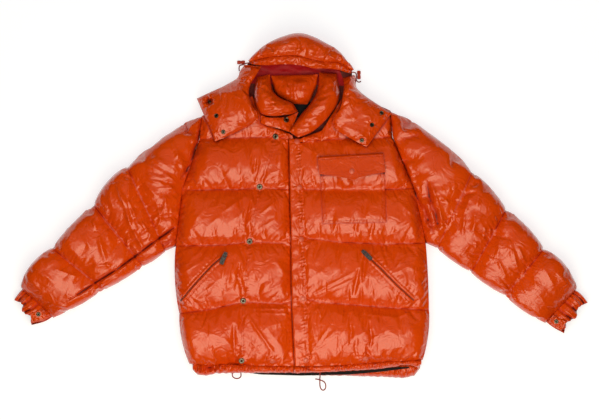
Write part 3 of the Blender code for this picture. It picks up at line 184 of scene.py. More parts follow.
CUFF_LEFT = metres((
    ((613, -289.7), (685.8, -209.6), 28), ((630, -303), (700, -220), 36),
    ((652, -314), (712, -236), 30)))
# pads: the two edges of each section
PADS = metres({
    "collar_back": (((-18, 254.5), (15, 253.5)), ((-45, 267), (24, 266)), ((-64, 284), (32, 284)),
                    ((-70, 303), (39, 303)), ((-74, 325), (42, 328))),
    "collar_right": (((-110, 322), (-78, 328)), ((-115, 300), (-74, 302)), ((-116, 275), (-68, 284)),
                     ((-112, 250), (-50, 268)), ((-98, 229), (-33, 261)), ((-70, 223), (-20, 254)),
                     ((-40, 226), (-12, 243)), ((-22, 229), (-8, 236))),
    "collar_left": (((46, 333), (89, 330)), ((43, 302), (95, 300)), ((36, 277), (96, 275)),
                    ((19, 250), (88, 250)), ((3, 233), (72, 226)), ((-8, 217), (48, 200)),
                    ((-20, 198), (22, 181)), ((-28, 184), (-8, 170))),
    "collar_tab": (((-101, 206), (-99, 225)), ((-83, 199), (-80, 220)), ((-60, 194), (-60, 220)),
                   ((-38, 187), (-36, 222)), ((-26.5, 183), (-6.5, 234.5))),
    "hood_side_right": (((-141, 352), (-99, 347)), ((-152, 336), (-114, 321)), ((-159, 319), (-126, 301)),
                        ((-180, 306), (-129, 277)), ((-196, 297), (-119, 247)), ((-216, 288), (-106, 216)),
                        ((-238, 278), (-150, 188)), ((-260, 268), (-213, 160))),
    "hood_side_left": (((104, 319), (133, 327.5)), ((107, 300), (137, 316)), ((103, 270), (138, 296)),
                       ((97, 243), (150, 282)), ((80, 214), (168, 268)), ((85, 191), (186, 256)),
                       ((122, 168), (206, 243)), ((163, 146), (225, 230))),
    "hood_crown": (((-131, 361), (-127, 358.5)), ((-112, 377), (-108, 364)), ((-83, 399), (-82, 369)),
                   ((-45, 418), (-50, 372)), ((-6, 427.5), (-10, 372.5)), ((30, 418), (22, 364.5)),
                   ((62, 400), (55, 358)), ((94, 380), (90, 357)), ((115, 357), (111, 348)),
                   ((132, 339), (127, 337))),
    "hood_brim": (((-127, 358.2), (-128, 354.5)), ((-108, 363.7), (-107, 350.5)),
                  ((-82, 368.7), (-79, 349.5)), ((-50, 371.7), (-42, 351.5)), ((-10, 372.2), (-4, 349.5)),
                  ((22, 364.2), (29, 341.5)), ((55, 357.7), (55, 341.2)), ((90, 356.7), (91, 338.5)),
                  ((111, 347.7), (110, 333.5)), ((127, 336.7), (124, 330))),
})
# how many cells along and across a pad
PAD_CELLS = {"collar_back": (24, 28), "collar_right": (52, 20), "collar_left": (52, 22),
             "collar_tab": (24, 10), "hood_side_right": (56, 34), "hood_side_left": (54, 30),
             "hood_crown": (78, 20), "hood_brim": (90, 9)}
HEM_RIGHT_EDGE = metres((
    (-270, -409), (-258, -421), (-236, -423), (-212, -417.5), (-150, -416.5),
    (-18.5, -416)))
HEM_LEFT_EDGE = metres((
    (-17.5, -417), (60, -415), (135, -410.5), (178, -408), (225, -403), (247, -398.5),
    (272, -397.5), (292, -403), (300, -396)))
HEM_BACK_EDGE = metres((
    (-270, -406), (-240, -410), (-170, -413.5), (-135, -417), (-100, -421.5), (0, -423.5),
    (120, -425), (200, -427.5), (262, -430), (284, -424), (298, -406)))
HEM_RIGHT_SEAM = metres(((-278, -394), (-208, -396), (-149, -397), (-4, -399)))
HEM_LEFT_SEAM = metres(((-3.4, -399), (51, -398), (113, -396), (215, -387), (303, -384)))
HEM_BACK_SEAM = metres(((-278, -394), (-120, -398), (110, -397), (303, -384)))
# where the right front's hem is bunched up
HEM_BUNCH = metres((-230, -404.5))
ZIP_LINES = metres({
    "right": ((-194, -125), (-220, -147), (-263, -193), (-300, -237)),
    "left": ((161, -120), (198, -155), (240, -198), (281, -235)),
})
# the cords' middle lines, from where they come out
CORD_ROUTES = metres({
    "hem_cord_right": ((-171, -417.2, 40), (-171.2, -422.5, 39), (-169, -427, 37), (-164, -430, 35),
                       (-158, -430.5, 34.5), (-152.5, -428, 35.5), (-149.8, -423.5, 38), (-150, -417, 40)),
    "hem_cord_left": ((47.5, -415, 40), (47.5, -421.5, 39.5), (47.5, -426.2, 35), (47.4, -428.5, 24),
                      (47.3, -429.2, 12), (47.2, -431.5, 4), (47.2, -437, 1.5), (47.5, -450, 1.5),
                      (50, -458, 1.5), (55.5, -461.8, 1.5), (60.5, -458, 1.5), (62.2, -451, 1.5),
                      (60, -443, 2), (55, -438.5, 4.2), (47.2, -435.5, 6), (41.5, -434, 3.5),
                      (36, -433.5, 1.5)),
    "hood_cord_right": ((-128.3, 356.5, 45), (-134, 356.2, 44), (-138.5, 355.6, 34), (-141.5, 354.8, 18),
                        (-145, 353.8, 5.5), (-150, 353.3, 1.8), (-154, 351, 1.5), (-155.2, 345, 1.5),
                        (-154.5, 338, 1.5)),
    "hood_cord_left": ((126, 333.5, 44), (131.5, 333.2, 43.5), (135.8, 332.2, 34), (137.8, 330.8, 18),
                       (138.4, 328, 5.5), (138.4, 323, 1.6), (138.6, 316.5, 1.5), (141.5, 311.8, 1.5),
                       (146.5, 310.5, 1.5), (150.5, 313, 1.5)),
})
# stitched lines, and how far a second line runs beside the first
STITCHED = metres((
    (((-5, 160), (-3, 103), (0, 40), (4, -85), (10, -235), (15, -335), (18, -396)), 4.5),
    (((-149, -392), (-144, -239), (-128, -89), (-103, 45), (-63, 172)), 5)))
BACK_OUTLINE = metres((
    (-278, -394), (-303, -268), (-312, -100), (-296, 39), (-253, 166), (-247, 225),
    (-122, 273), (113, 286), (223, 238), (228, 172), (281, 44), (311, -92), (319, -260),
    (303, -384), (110, -397), (-120, -398)))
# levels at which the back's sides are nipped in
BACK_PINCHES = metres((-266, -97, 41, 168))
HOOD_BACK_OUTLINE = metres((
    (-121, 273), (-134, 269), (-142, 305), (-144, 330), (-133, 356), (-112, 375.5),
    (-83, 397), (-45, 416), (-6, 425), (30, 416), (62, 398.5), (94, 378.5),
    (115, 356), (127, 338), (128, 322), (128, 305), (112.5, 286.3)))
# where the back layer and the hood's layer are sewn to something and keep a square edge
BACK_SEWN = metres((
    ((-312, -100), (-296, 39), (-253, 166), (-247, 225)),
    ((311, -92), (281, 44), (228, 172), (223, 238)),
    ((-175, 252), (-122, 273), (113, 286), (165, 263))))
HOOD_SEWN = metres((
    ((-143, 312), (-142, 305), (-134, 269), (-121, 273), (112.5, 286.3), (128, 305),
    (128, 315)),))
UNDERARM_SEAM = metres((
    (-314, -52), (-350, -78), (-398, -114), (-460, -159), (-517, -194), (-562, -224),
    (-578, -233)))
HEM_LINING_EDGE = metres((
    (-140, -415), (-100, -420.7), (0, -423.4), (120, -420.8), (200, -413.6),
    (270, -404.6)))
# four-sided patches: lower left, lower right, upper left, upper right corner
NECK_FACING = metres(((-30, 227), (22, 214), (-40, 260), (30, 260)))
HOOD_INSIDE = metres(((-126, 306), (112, 300), (-86, 384), (80, 380)))
POCKET = metres(((54, -44), (212, -40), (48, 78), (208, 90)))
POCKET_FLAP = metres(((45.7, 79.5), (209.2, 84.5), (41, 122), (203.2, 131.5)))
# but a tab's two ends in turn
CUFF_TABS = metres({
    "cuff_tab_right": ((-632, -279), (-641, -258), (-672, -291), (-676, -268)),
    "cuff_tab_left": ((615, -292), (628, -272), (650, -312), (663, -289)),
})
# folds pressed into the cloth: start and end, half width, all in millimetres, then height in tenths; a
# negative height also paints shade into its groove
FOLDS = (
    (-109, 71, -107, 129, 3, 11), (-251, 45, -240, 81, 4, 7), (-213, 45, -165, 100, 5, 10),
    (-159, 45, -134, 81, 4, 8), (-285, 48, -270, 75, 4, 6), (-83, 79, -37, 94, 4, 9),
    (-77, 100, -83, 148, 4, 6), (-98, 55, -52, 75, 3, 8), (-125, 58, -60, 56, 3, 9),
    (-129, 48, -60, 45, 2, 5), (-259, 121, -270, 108, 3, 8), (-165, 140, -176, 90, 6, 6),
    (-199, -17, -136, 25, 6, 15), (-266, -40, -234, 1, 5, 8), (-291, -17, -274, 6, 4, 7),
    (-239, -59, -201, -24, 6, 8), (-102, -21, -58, 16, 4, 14), (-186, -86, -144, -55, 4, 8),
    (-113, -63, -60, -30, 4, 9), (-86, -78, -33, -36, 5, 10), (-174, -40, -129, -5, 5, 7),
    (-102, -80, -60, -86, 3, 7), (-150, -51, -109, -55, 2, 5), (-155, -61, -109, -63, 2, 5),
    (-144, -40, -116, -41, 2, 4), (-148, -71, -113, -72, 2, 5), (-301, -78, -201, -74, 8, 12),
    (-251, -105, -236, -131, 4, 8), (-299, -170, -247, -135, 5, 9), (-190, -143, -197, -189, 4, 12),
    (-270, -239, -217, -193, 4, 9), (-239, -223, -201, -177, 5, 10), (-173, -141, -148, -227, 4, 12),
    (-174, -143, -187, -225, 4, 10), (-67, -128, -35, -179, 6, 12), (-123, -135, -102, -193, 5, 9),
    (-60, -177, -113, -225, 5, 8), (-98, -219, -33, -185, 5, 9), (-159, -177, -132, -178, 2, 5),
    (-155, -187, -131, -189, 2, 5), (-155, -196, -134, -199, 2, 5), (-178, -239, -148, -229, 3, 8),
    (-129, -255, -25, -256, 3, 13), (-121, -265, -27, -268, 3, 10), (-134, -271, -63, -373, 4, 20),
    (-113, -273, -52, -346, 6, 9), (-291, -300, -201, -325, 6, 11), (-194, -327, -151, -362, 4, 9),
    (-182, -338, -159, -377, 4, 9), (-285, -262, -201, -250, 3, 8), (-283, -275, -251, -271, 3, 6),
    (-239, -361, -182, -340, 5, 8), (-144, -323, -98, -361, 5, 9), (-98, -304, -25, -284, 7, 10),
    (-148, -376, -127, -385, 3, 8), (-171, -369, -188, -384, 3, 7), (-163, -346, -136, -344, 2, 5),
    (-165, -355, -136, -355, 2, 5), (-194, -246, -213, -260, 3, 6), (-305, -116, -285, -154, 5, 7),
    (-90, -55, -113, -74, 3, 7), (-163, -242, -174, -269, 3, 8), (-129, -239, -113, -250, 3, 6),
    (20, 152, 40, 126, 3, 10), (0, 151, 37, 130, 4, 11), (44, 182, 76, 146, 4, 10), (32, 145, 44, 124, 3, 8),
    (-16, 158, -4, 142, 3, 8), (96, 182, 80, 166, 4, 8), (8, 166, 40, 160, 3, 8), (-8, 54, -28, 96, 3, 10),
    (-6, 55, -17, 99, 3, 9), (-3, 56, -2, 102, 3, 9), (-1, 55, 13, 94, 3, 10), (1, 54, 28, 83, 3, 10),
    (2, 50, 36, 66, 3, 9), (3, 47, 40, 50, 3, 8), (-8, 35, -20, 15, 3, 6), (1, 35, 12, 15, 3, 6),
    (103, 42, 127, 58, 4, 8), (167, 39, 199, 58, 4, 8), (219, 56, 275, 70, 6, 9), (239, 23, 264, 39, 4, 8),
    (215, 74, 239, 47, 4, 7), (263, 98, 279, 58, 3, 12), (275, 70, 299, 27, 3, 14), (239, 15, 295, -38, 5, 9),
    (255, 3, 263, -33, 4, 6), (-7, -73, -25, -33, 3, 9), (-4, -72, -11, -25, 3, 9), (-1, -71, 4, -21, 3, 9),
    (1, -73, 21, -29, 3, 10), (3, -75, 33, -44, 3, 10), (5, -79, 42, -65, 3, 8), (20, -87, 135, -87, 3, 8),
    (72, -65, 100, -90, 4, 9), (84, -49, 107, -86, 4, 9), (127, -52, 152, -94, 4, 13),
    (139, -49, 159, -90, 4, 10), (196, -56, 183, -90, 4, 13), (204, -49, 190, -91, 3, 9),
    (217, -75, 293, -27, 8, 14), (183, -91, 303, -103, 3, 9), (231, -53, 263, -33, 5, 7),
    (-4, -221, -24, -169, 3, 10), (-1, -219, -10, -167, 3, 9), (2, -218, 6, -161, 3, 9),
    (5, -220, 21, -177, 3, 10), (6, -222, 33, -196, 3, 10), (11, -229, 136, -161, 4, 15),
    (20, -231, 152, -172, 4, 13), (32, -233, 119, -193, 4, 8), (12, -236, 92, -240, 3, 8),
    (16, -153, 64, -171, 6, 9), (20, -183, 80, -141, 7, 8), (139, -102, 159, -126, 3, 10),
    (175, -101, 180, -126, 3, 9), (199, -116, 219, -169, 4, 10), (221, -163, 240, -112, 3, 9),
    (223, -166, 264, -120, 3, 10), (225, -169, 271, -149, 4, 8), (211, -208, 232, -253, 3, 13),
    (220, -204, 248, -249, 3, 10), (235, -209, 279, -253, 4, 8), (292, -181, 311, -229, 4, 9),
    (147, -161, 183, -181, 5, 8), (239, -137, 303, -169, 8, 9), (32, -240, 52, -277, 3, 9),
    (20, -268, 40, -349, 5, 11), (36, -349, 80, -284, 5, 12), (52, -340, 92, -304, 4, 9),
    (80, -260, 127, -288, 5, 7), (131, -328, 183, -300, 5, 9), (151, -345, 215, -308, 5, 10),
    (167, -269, 239, -277, 4, 12), (219, -285, 291, -256, 3, 10), (199, -357, 263, -348, 5, 8),
    (12, -388, 40, -344, 4, 8), (84, -377, 127, -328, 4, 9), (255, -252, 304, -248, 3, 9),
    (127, -284, 92, -328, 6, 8), (183, -280, 239, -324, 7, 8), (-4, -344, 16, -340, 2, 5),
    (-6, -356, 16, -353, 2, 5), (-6, -366, 16, -364, 2, 5), (151, -368, 199, -376, 4, 7),
    (239, -384, 299, -368, 4, 8), (-314, -54, -363, -87, 4, -22), (-363, -87, -398, -114, 4, -22),
    (-398, -114, -460, -159, 4, -20), (-460, -159, -517, -194, 4, -18), (-517, -194, -559, -223, 4, -14),
    (-243, 219, -260, 159, 4, -22), (-260, 159, -275, 107, 4, -22), (-275, 107, -298, 65, 4, -18),
    (-232, 208, -246, 170, 3, 12), (-254, 208, -268, 156, 3, 10), (-324, 160, -297, 110, 4, 13),
    (-297, 110, -288, 71, 4, 12), (-307, 135, -314, 93, 4, 8), (-407, 113, -342, 83, 4, 14),
    (-342, 83, -309, 57, 4, 14), (-391, 128, -313, 99, 4, 9), (-377, 119, -310, 86, 4, 10),
    (-385, 79, -328, 65, 4, 12), (-384, 68, -330, 50, 4, 11), (-388, 58, -358, 22, 4, 12),
    (-331, 54, -309, 29, 4, 13), (-356, 44, -310, 44, 3, 7), (-458, 58, -436, -6, 5, 18),
    (-436, -6, -422, -52, 5, 20), (-422, -52, -390, -111, 5, 17), (-425, 65, -429, 16, 4, 10),
    (-429, 16, -412, -27, 4, 10), (-440, 30, -425, -27, 4, 8), (-359, 16, -348, -41, 4, 9),
    (-335, 16, -355, -48, 4, 9), (-338, 26, -330, -41, 4, 8), (-394, -41, -373, -76, 3, 11),
    (-405, -41, -383, -69, 3, 8), (-321, -6, -324, -48, 4, 8), (-503, 16, -485, -6, 4, 11),
    (-485, -6, -485, -24, 4, 9), (-517, -6, -502, -37, 4, 10), (-516, -34, -509, -59, 4, 9),
    (-503, -76, -485, -139, 6, 14), (-485, -139, -474, -157, 5, 9), (-559, -51, -587, -94, 6, 9),
    (-485, -55, -474, -93, 5, 8), (-454, -76, -440, -107, 5, 8), (-517, -150, -468, -146, 5, 8),
    (-468, -154, -432, -149, 4, 8), (-538, -69, -521, -111, 6, 8), (-580, -97, -545, -132, 6, 7),
    (-643, -163, -611, -195, 6, 9), (-661, -156, -633, -182, 5, 8), (-612, -156, -552, -178, 4, 8),
    (-587, -220, -562, -231, 4, 7), (-622, -241, -580, -255, 5, 7), (-675, -181, -640, -220, 6, 7),
    (-363, -97, -355, -83, 3, 9), (-461, -175, -432, -146, 3, 9), (-531, -186, -510, -177, 3, 7),
    (-422, -97, -401, -125, 4, 9), (-433, -76, -429, -125, 3, 10), (-419, -6, -401, -62, 6, 8),
    (-482, 44, -468, -6, 6, 8), (312, 63, 326, -14, 5, -17), (304, 6, 318, -44, 6, -17),
    (322, 55, 342, 2, 5, 18), (342, 2, 353, -54, 5, 17), (296, 2, 334, 6, 4, 10), (300, 55, 302, 6, 4, 9),
    (334, -5, 341, -46, 5, -16), (255, 178, 289, 190, 4, 9), (266, 159, 285, 171, 3, 8),
    (292, 148, 334, 153, 6, 7), (277, 108, 262, 93, 3, 8), (266, 78, 285, 44, 3, 12),
    (281, 51, 297, 18, 3, 12), (360, 51, 352, 32, 2, 8), (372, 55, 364, 36, 2, 8), (383, 63, 379, 39, 2, 8),
    (345, 25, 367, 6, 4, 9), (420, 25, 405, -21, 5, 12), (405, -21, 401, -73, 5, 12),
    (390, 3, 360, -65, 5, 11), (432, -16, 427, -73, 5, 9), (375, -6, 394, -54, 4, 8),
    (364, -12, 391, -65, 4, 8), (442, 25, 435, -5, 5, 7), (472, -50, 469, -84, 2, 9),
    (458, -53, 454, -84, 2, 9), (484, -46, 480, -73, 2, 8), (435, -88, 436, -103, 2, 8),
    (420, -95, 397, -125, 4, 8), (450, -20, 420, -65, 6, 8), (495, -72, 487, -129, 5, 11),
    (487, -129, 510, -178, 5, 9), (540, -102, 559, -148, 4, 11), (528, -110, 540, -167, 4, 10),
    (454, -95, 473, -140, 5, 9), (517, -87, 528, -147, 5, 8), (547, -181, 558, -155, 2, 8),
    (562, -166, 570, -140, 2, 8), (536, -196, 547, -170, 2, 7), (577, -166, 585, -204, 5, 8),
    (637, -167, 675, -208, 6, 9), (663, -181, 679, -204, 4, 8), (600, -151, 630, -200, 7, 8),
    (570, -196, 615, -252, 7, 6), (472, -177, 521, -218, 6, 6), (390, -140, 420, -170, 5, 7),
    (3, 412, 3, 372, 3, -9), (3, 402, -23, 412, 3, 7), (2, 396, -30, 399, 3, 7), (2, 389, -36, 384, 4, 6),
    (4, 397, 34, 402, 3, 6), (4, 386, 44, 381, 4, 6), (-63, 369, -13, 372, 4, 9), (-13, 372, 37, 363, 4, 9),
    (-110, 355, -70, 365, 3, 8), (51, 362, 61, 375, 3, 9), (61, 375, 94, 359, 4, 8), (17, 375, 57, 365, 4, 7),
    (-90, 365, -77, 369, 3, 7), (71, 369, 101, 352, 3, 7), (-130, 352, -90, 346, 4, 7),
    (37, 352, 87, 345, 4, 7), (-43, 384, 10, 389, 6, 6), (-182, 278, -144, 265, 5, 11),
    (-217, 278, -144, 288, 4, 8), (-154, 288, -130, 272, 5, 8), (-200, 248, -194, 218, 3, 10),
    (-194, 218, -164, 221, 5, 9), (-197, 205, -164, 208, 4, 10), (-190, 191, -177, 205, 3, 8),
    (-157, 211, -137, 205, 3, 9), (-134, 255, -110, 225, 4, 8), (-207, 272, -160, 285, 3, 7),
    (-227, 252, -211, 265, 3, 8), (-211, 238, -200, 252, 3, 8), (-160, 319, -137, 305, 3, 10),
    (-164, 309, -134, 302, 3, 8), (-144, 332, -110, 342, 4, 8), (-194, 178, -160, 191, 3, 8),
    (151, 228, 178, 221, 4, 9), (178, 221, 171, 205, 3, 8), (141, 188, 154, 168, 3, 9),
    (158, 191, 148, 168, 3, 8), (104, 198, 144, 185, 4, 8), (108, 215, 138, 218, 5, 8),
    (124, 272, 144, 265, 4, 7), (118, 248, 144, 255, 5, 6), (84, 205, 118, 181, 3, 9),
    (174, 175, 218, 165, 4, 8), (185, 188, 215, 175, 3, 7), (-97, 292, -90, 272, 4, 8),
    (-113, 278, -77, 265, 5, 9), (-77, 305, -70, 278, 3, 8), (-90, 262, -50, 238, 5, 7),
    (-30, 255, -16, 242, 3, 9), (-43, 248, -20, 252, 4, 8), (34, 285, 67, 295, 4, 7),
    (37, 272, 71, 278, 4, 7), (34, 258, 71, 263, 4, 7), (27, 245, 61, 245, 4, 7), (20, 235, 41, 218, 4, 9),
    (-10, 205, 17, 218, 5, 9), (77, 292, 91, 265, 5, 7), (10, 225, 0, 205, 4, 8), (-23, 312, -20, 265, 3, -8),
    (-43, 309, -25, 288, 4, 7), (-63, 319, -30, 305, 5, 7), (-16, 302, 4, 312, 4, 8),
    (-13, 285, 24, 292, 5, 7), (-43, 285, -25, 272, 4, 7), (-46, 298, -26, 278, 3, 7),
    (-97, 205, -77, 185, 4, 9), (-77, 198, -50, 195, 4, 9), (-90, 195, -63, 188, 3, 8),
    (-97, 218, -63, 221, 3, 8), (-43, 188, -36, 175, 2, 8), (-30, 191, -28, 168, 3, 9),
    (17, 188, 51, 185, 4, 9), (24, 175, 77, 151, 5, 10), (44, 181, 91, 158, 5, 9), (7, 178, 44, 151, 4, 9),
    (-4, 424, 4, 380, 2, -12), (-103, 372, -63, 383, 4, 12), (-60, 393, -4, 412, 5, 11),
    (12, 381, 46, 367, 4, 12), (64, 375, 92, 362, 3, 11), (-22, 406, 4, 396, 3, 9), (46, 367, 66, 378, 3, 10),
    (-85, 368, -60, 388, 3, 9), (-40, 380, 0, 388, 5, 10), (8, 392, 40, 384, 4, 9), (30, 402, 58, 384, 4, 9),
    (313, -20, 329, -70, 7, -14), (322, 20, 344, -60, 4, -14), (-345, -100, -314, -80, 5, -12),
    (254, 108, 274, 60, 3, -16), (274, 60, 302, -10, 3, -16), (262, 112, 284, 62, 4, 12),
    (-268, 118, -251, 188, 3, -12), (-262, 112, -244, 186, 3, 9), (-22, 319, -24, 267, 2, -11),
    (-36, 322, -30, 290, 2, -7), (-8, 319, -14, 286, 2, -7), (-46, 302, -38, 280, 2, -6),
    (5, 305, -1, 280, 2, -6), (-16, 292, -10, 264, 2, -6), (-30, 288, -36, 270, 2, -6),
)

# ---------------------------------------------------------------- profiles, in metres
# widening of the bottom puff, then of the next, at each front's side
SIDE_SWELL = {"front_right": (-0.0075, -0.0070), "front_left": (0.006, 0.0015)}
SNAP_SEAM = (1.72, 2.30)                     # columns between which the right front dips under its snaps
FLAP_SIDE, FLAP_SPAN = 1.62, 0.62            # column up to which the left front falls to the storm flap
SEAM_LIFT = (0.25, 0.62, 0.40, 0.34, 0.0)    # how far each ring seam rises toward the puffs beside it
ROLLS = ("collar_back", "collar_right", "collar_left")
# relief beside a pocket opening: height, distance from it, half width
ZIP_LIPS = ((-0.0026, 0.0, 0.0018), (0.0015, 0.0046, 0.0024), (-0.0012, 0.0092, 0.0014))
# a layer's edge: share of its height, and how far it is drawn in
ROLLED_EDGE = ((0.0, 0.018), (0.03, 0.012), (0.12, 0.0065), (0.28, 0.0022), (0.46, 0.0006), (0.64, 0.0008),
               (0.80, 0.0030), (0.92, 0.0065), (1.0, 0.012))
SEWN_ABOVE = ((0.0, 0.018), (0.03, 0.012), (0.12, 0.0065), (0.28, 0.0022), (0.46, 0.0006), (0.64, 0.0004),
              (0.80, 0.0012), (0.92, 0.0010), (1.0, 0.0))
# a hem channel from its seam outwards: share of its depth, share of its height
HEM_SECTION = ((0.0, 0.62), (0.12, 0.84), (0.30, 1.0), (0.52, 1.02), (0.74, 0.92), (0.90, 0.70), (1.0, 0.38),
               (0.985, 0.12), (0.90, 0.0), (0.5, 0.0), (0.05, 0.0))
# seam, edge, lower level, height and seed of each hem channel
HEMS = {"hem_back": (HEM_BACK_SEAM, HEM_BACK_EDGE, 0.0, 0.029, 5),
        "hem_front_right": (HEM_RIGHT_SEAM, HEM_RIGHT_EDGE, FRONT_FLOOR, 0.020, 8),
        "hem_front_left": (HEM_LEFT_SEAM, HEM_LEFT_EDGE, FRONT_FLOOR, 0.020, 12)}
CUFFS = {"cuff_right": (CUFF_RIGHT, 1.0), "cuff_left": (CUFF_LEFT, 2.6)}
CUFF_ROWS, CUFF_SIDES = 18, 208     # rings along a cuff, points round each
# rings that turn back into the cuff: the ring they repeat, how much narrower and how much flatter
CUFF_INSIDE = ((18, 0.86, 0.30), (12, 0.74, 0.16), (8, 0.70, 0.14))
SNAP_SOCKET = 0.38           # share of a snap's radius painted near-black, as painted shade down in its socket
# turned pieces: radius and height, over the snap's radius, or over the lock's radius and length
SNAP_SHAPES = {
    "ring": ((0, 0.05), (0.30, 0.05), (0.34, 0.08), (0.40, 0.30), (0.46, 0.36), (0.58, 0.38), (0.66, 0.33),
             (0.72, 0.33), (0.80, 0.40), (0.92, 0.34), (1.0, 0.18), (0.99, 0.06), (0.94, 0), (0, 0)),
    "cap": ((0, 0.46), (0.35, 0.45), (0.60, 0.40), (0.70, 0.34), (0.74, 0.27), (0.84, 0.25), (0.95, 0.16),
            (1.0, 0.05), (0.97, 0), (0, 0)),
    "small": ((0, 0.17), (0.28, 0.17), (0.33, 0.26), (0.42, 0.37), (0.52, 0.38), (0.60, 0.30), (0.70, 0.30),
              (0.80, 0.37), (0.93, 0.28), (1.0, 0.12), (0.97, 0), (0, 0)),
}
LOCK_SHAPE = ((0, 0), (0.66, 0), (0.86, 0.03), (0.98, 0.10), (1.0, 0.30), (0.95, 0.40), (0.84, 0.45),
              (0.80, 0.5), (0.84, 0.55), (0.95, 0.60), (1.0, 0.70), (0.98, 0.90), (0.86, 0.97), (0.66, 1.0),
              (0, 1.0))


# ---------------------------------------------------------------- shaders
class Wire:
    """A node socket that takes part in arithmetic."""

    def __init__(self, tree, socket):
        self.tree = tree
        self.socket = socket

    def math(self, operation, *others, clamp=False):
        node = self.tree.nodes.new("ShaderNodeMath")
        node.operation = operation
        node.use_clamp = clamp
        for place, value in zip(node.inputs, (self, *others)):
            feed(self.tree, place, value)
        return Wire(self.tree, node.outputs[0])

    def __add__(self, other):
        return self.math("ADD", other)

    __radd__ = __add__

    def __mul__(self, other):
        return self.math("MULTIPLY", other)

    __rmul__ = __mul__

    def __sub__(self, other):
        return self.math("SUBTRACT", other)

    def __rsub__(self, other):
        return self * -1.0 + other

    def clamp(self):
        return self.math("ADD", 0.0, clamp=True)

    def ramp(self, low, high):
        """0 at low, 1 at high and straight between."""
        return ((self - low) * (1.0 / (high - low))).clamp()


def feed(tree, socket, value):
    """Links a wire to a socket, or sets the socket's own value."""
    if isinstance(value, Wire):
        tree.links.new(value.socket, socket)
    else:
        socket.default_value = value


class Shader:
    """A Principled material and the nodes that vary it."""

    def __init__(self, name, **constants):
        self.material = bpy.data.materials.new(name)
        self.material.use_nodes = True
        self.tree = self.material.node_tree
        self.surface = self.tree.nodes["Principled BSDF"]
        for label, value in constants.items():
            self.set(label.replace("_", " ").title().replace("Ior", "IOR"), value)

    def set(self, label, value):
        feed(self.tree, self.surface.inputs[label], value)

    def node(self, kind, outlet=0, settings=None, **inputs):
        made = self.tree.nodes.new("ShaderNode" + kind)
        for key, value in (settings or {}).items():
            setattr(made, key, value)
        for label, value in inputs.items():
            feed(self.tree, made.inputs[label.replace("_", " ")], value)
        return Wire(self.tree, made.outputs[outlet])

    def place(self, stretch=(1, 1, 1)):
        """Object coordinates, stretched."""
        coords = self.node("TexCoord", "Object")
        return self.node("Mapping", Vector=coords, Scale=stretch)

    def noise(self, scale, detail=2.0, stretch=(1, 1, 1), distortion=0.0):
        return self.node("TexNoise", "Fac", Vector=self.place(stretch), Scale=scale, Detail=detail,
                         Distortion=distortion)

    def mix(self, share, first, second):
        """From the first colour to the second."""
        made = self.tree.nodes.new("ShaderNodeMix")
        made.data_type = "RGBA"
        for socket, value in zip([s for s in made.inputs if s.type == "RGBA"], (first, second)):
            feed(self.tree, socket, value if isinstance(value, Wire) else (*value, 1))
        feed(self.tree, [s for s in made.inputs if s.name == "Factor" and s.type == "VALUE"][0], share)
        return Wire(self.tree, [s for s in made.outputs if s.type == "RGBA"][0])

    def bump(self, height, distance, under=None):
        inputs = {"Height": height, "Distance": distance, "Strength": 1.0}
        if under is not None:
            inputs["Normal"] = under
        return self.node("Bump", **inputs)


def shell_material():
    """Glossy downproof nylon with sharp small creases and a close plain weave; painted shade makes it redder,
    then near-black, where each point's shade value is high, and dulls its gloss there.
    """
    shell = Shader("orange_nylon", coat_roughness=0.09, ior=1.5)
    fold = shell.node("Attribute", "Fac", {"attribute_name": "fold"})
    plain = shell.mix(shell.noise(9.0, 3.0).ramp(0.35, 0.7), (0.600, 0.047, 0.0004), (0.640, 0.055, 0.0006))
    # painted shade: redder toward (0.38, 0.006, 0.0007) in creases, along seams and under overlapping parts,
    # and near-black (0.06, 0.004, 0.002) where that painted shade is deepest
    shaded_in_creases = shell.mix(fold.clamp() * 0.8, plain, (0.38, 0.006, 0.0007))
    shell.set("Base Color", shell.mix(fold.ramp(0.8, 1.0) * 0.85, shaded_in_creases, (0.06, 0.004, 0.002)))
    # where the painted shade lies the coat and gloss are dulled too, so that no glint shows there
    sunk = fold.ramp(0.15, 0.7)
    shell.set("Coat Weight", 0.30 * (1 - sunk))
    shell.set("Roughness", 0.10 + 0.20 * shell.noise(16.0, 3.0) + 0.30 * sunk)
    crease = (shell.noise(26.0, 2.0, distortion=1.2) - 0.5).math("ABSOLUTE")
    crinkle = shell.noise(85.0, 3.0, distortion=0.4)
    weave = shell.noise(1400.0, 1.0)
    shaped = shell.bump(crinkle, 0.00035, shell.bump(crease, 0.0042))
    shell.set("Normal", shell.bump(weave, 0.00002, shaped))
    return shell.material


def plain_material(name, cloud, dark, light, grain=None, **constants):
    """A finish that drifts between two colours, with a grain of the given noise and depth."""
    finish = Shader(name, **constants)
    finish.set("Base Color", finish.mix(finish.noise(cloud), dark, light))
    if grain:
        *noise, depth = grain
        finish.set("Normal", finish.bump(finish.noise(*noise), depth))
    return finish


def inside_material():
    """The hood's inner face: the shell's orange painted darker and redder, as painted shade for the inside of
    the hood.
    """
    return plain_material("hood_inner_nylon", 14.0, (0.33, 0.001, 0.004), (0.44, 0.005, 0.006),
                          (40.0, 3.0, 0.0012), roughness=0.4, specular_ior_level=0.2).material


def lining_material():
    return plain_material("black_lining", 60.0, (0.004, 0.003, 0.003), (0.012, 0.010, 0.010),
                          (900.0, 0.0001), roughness=0.75, specular_ior_level=0.2).material


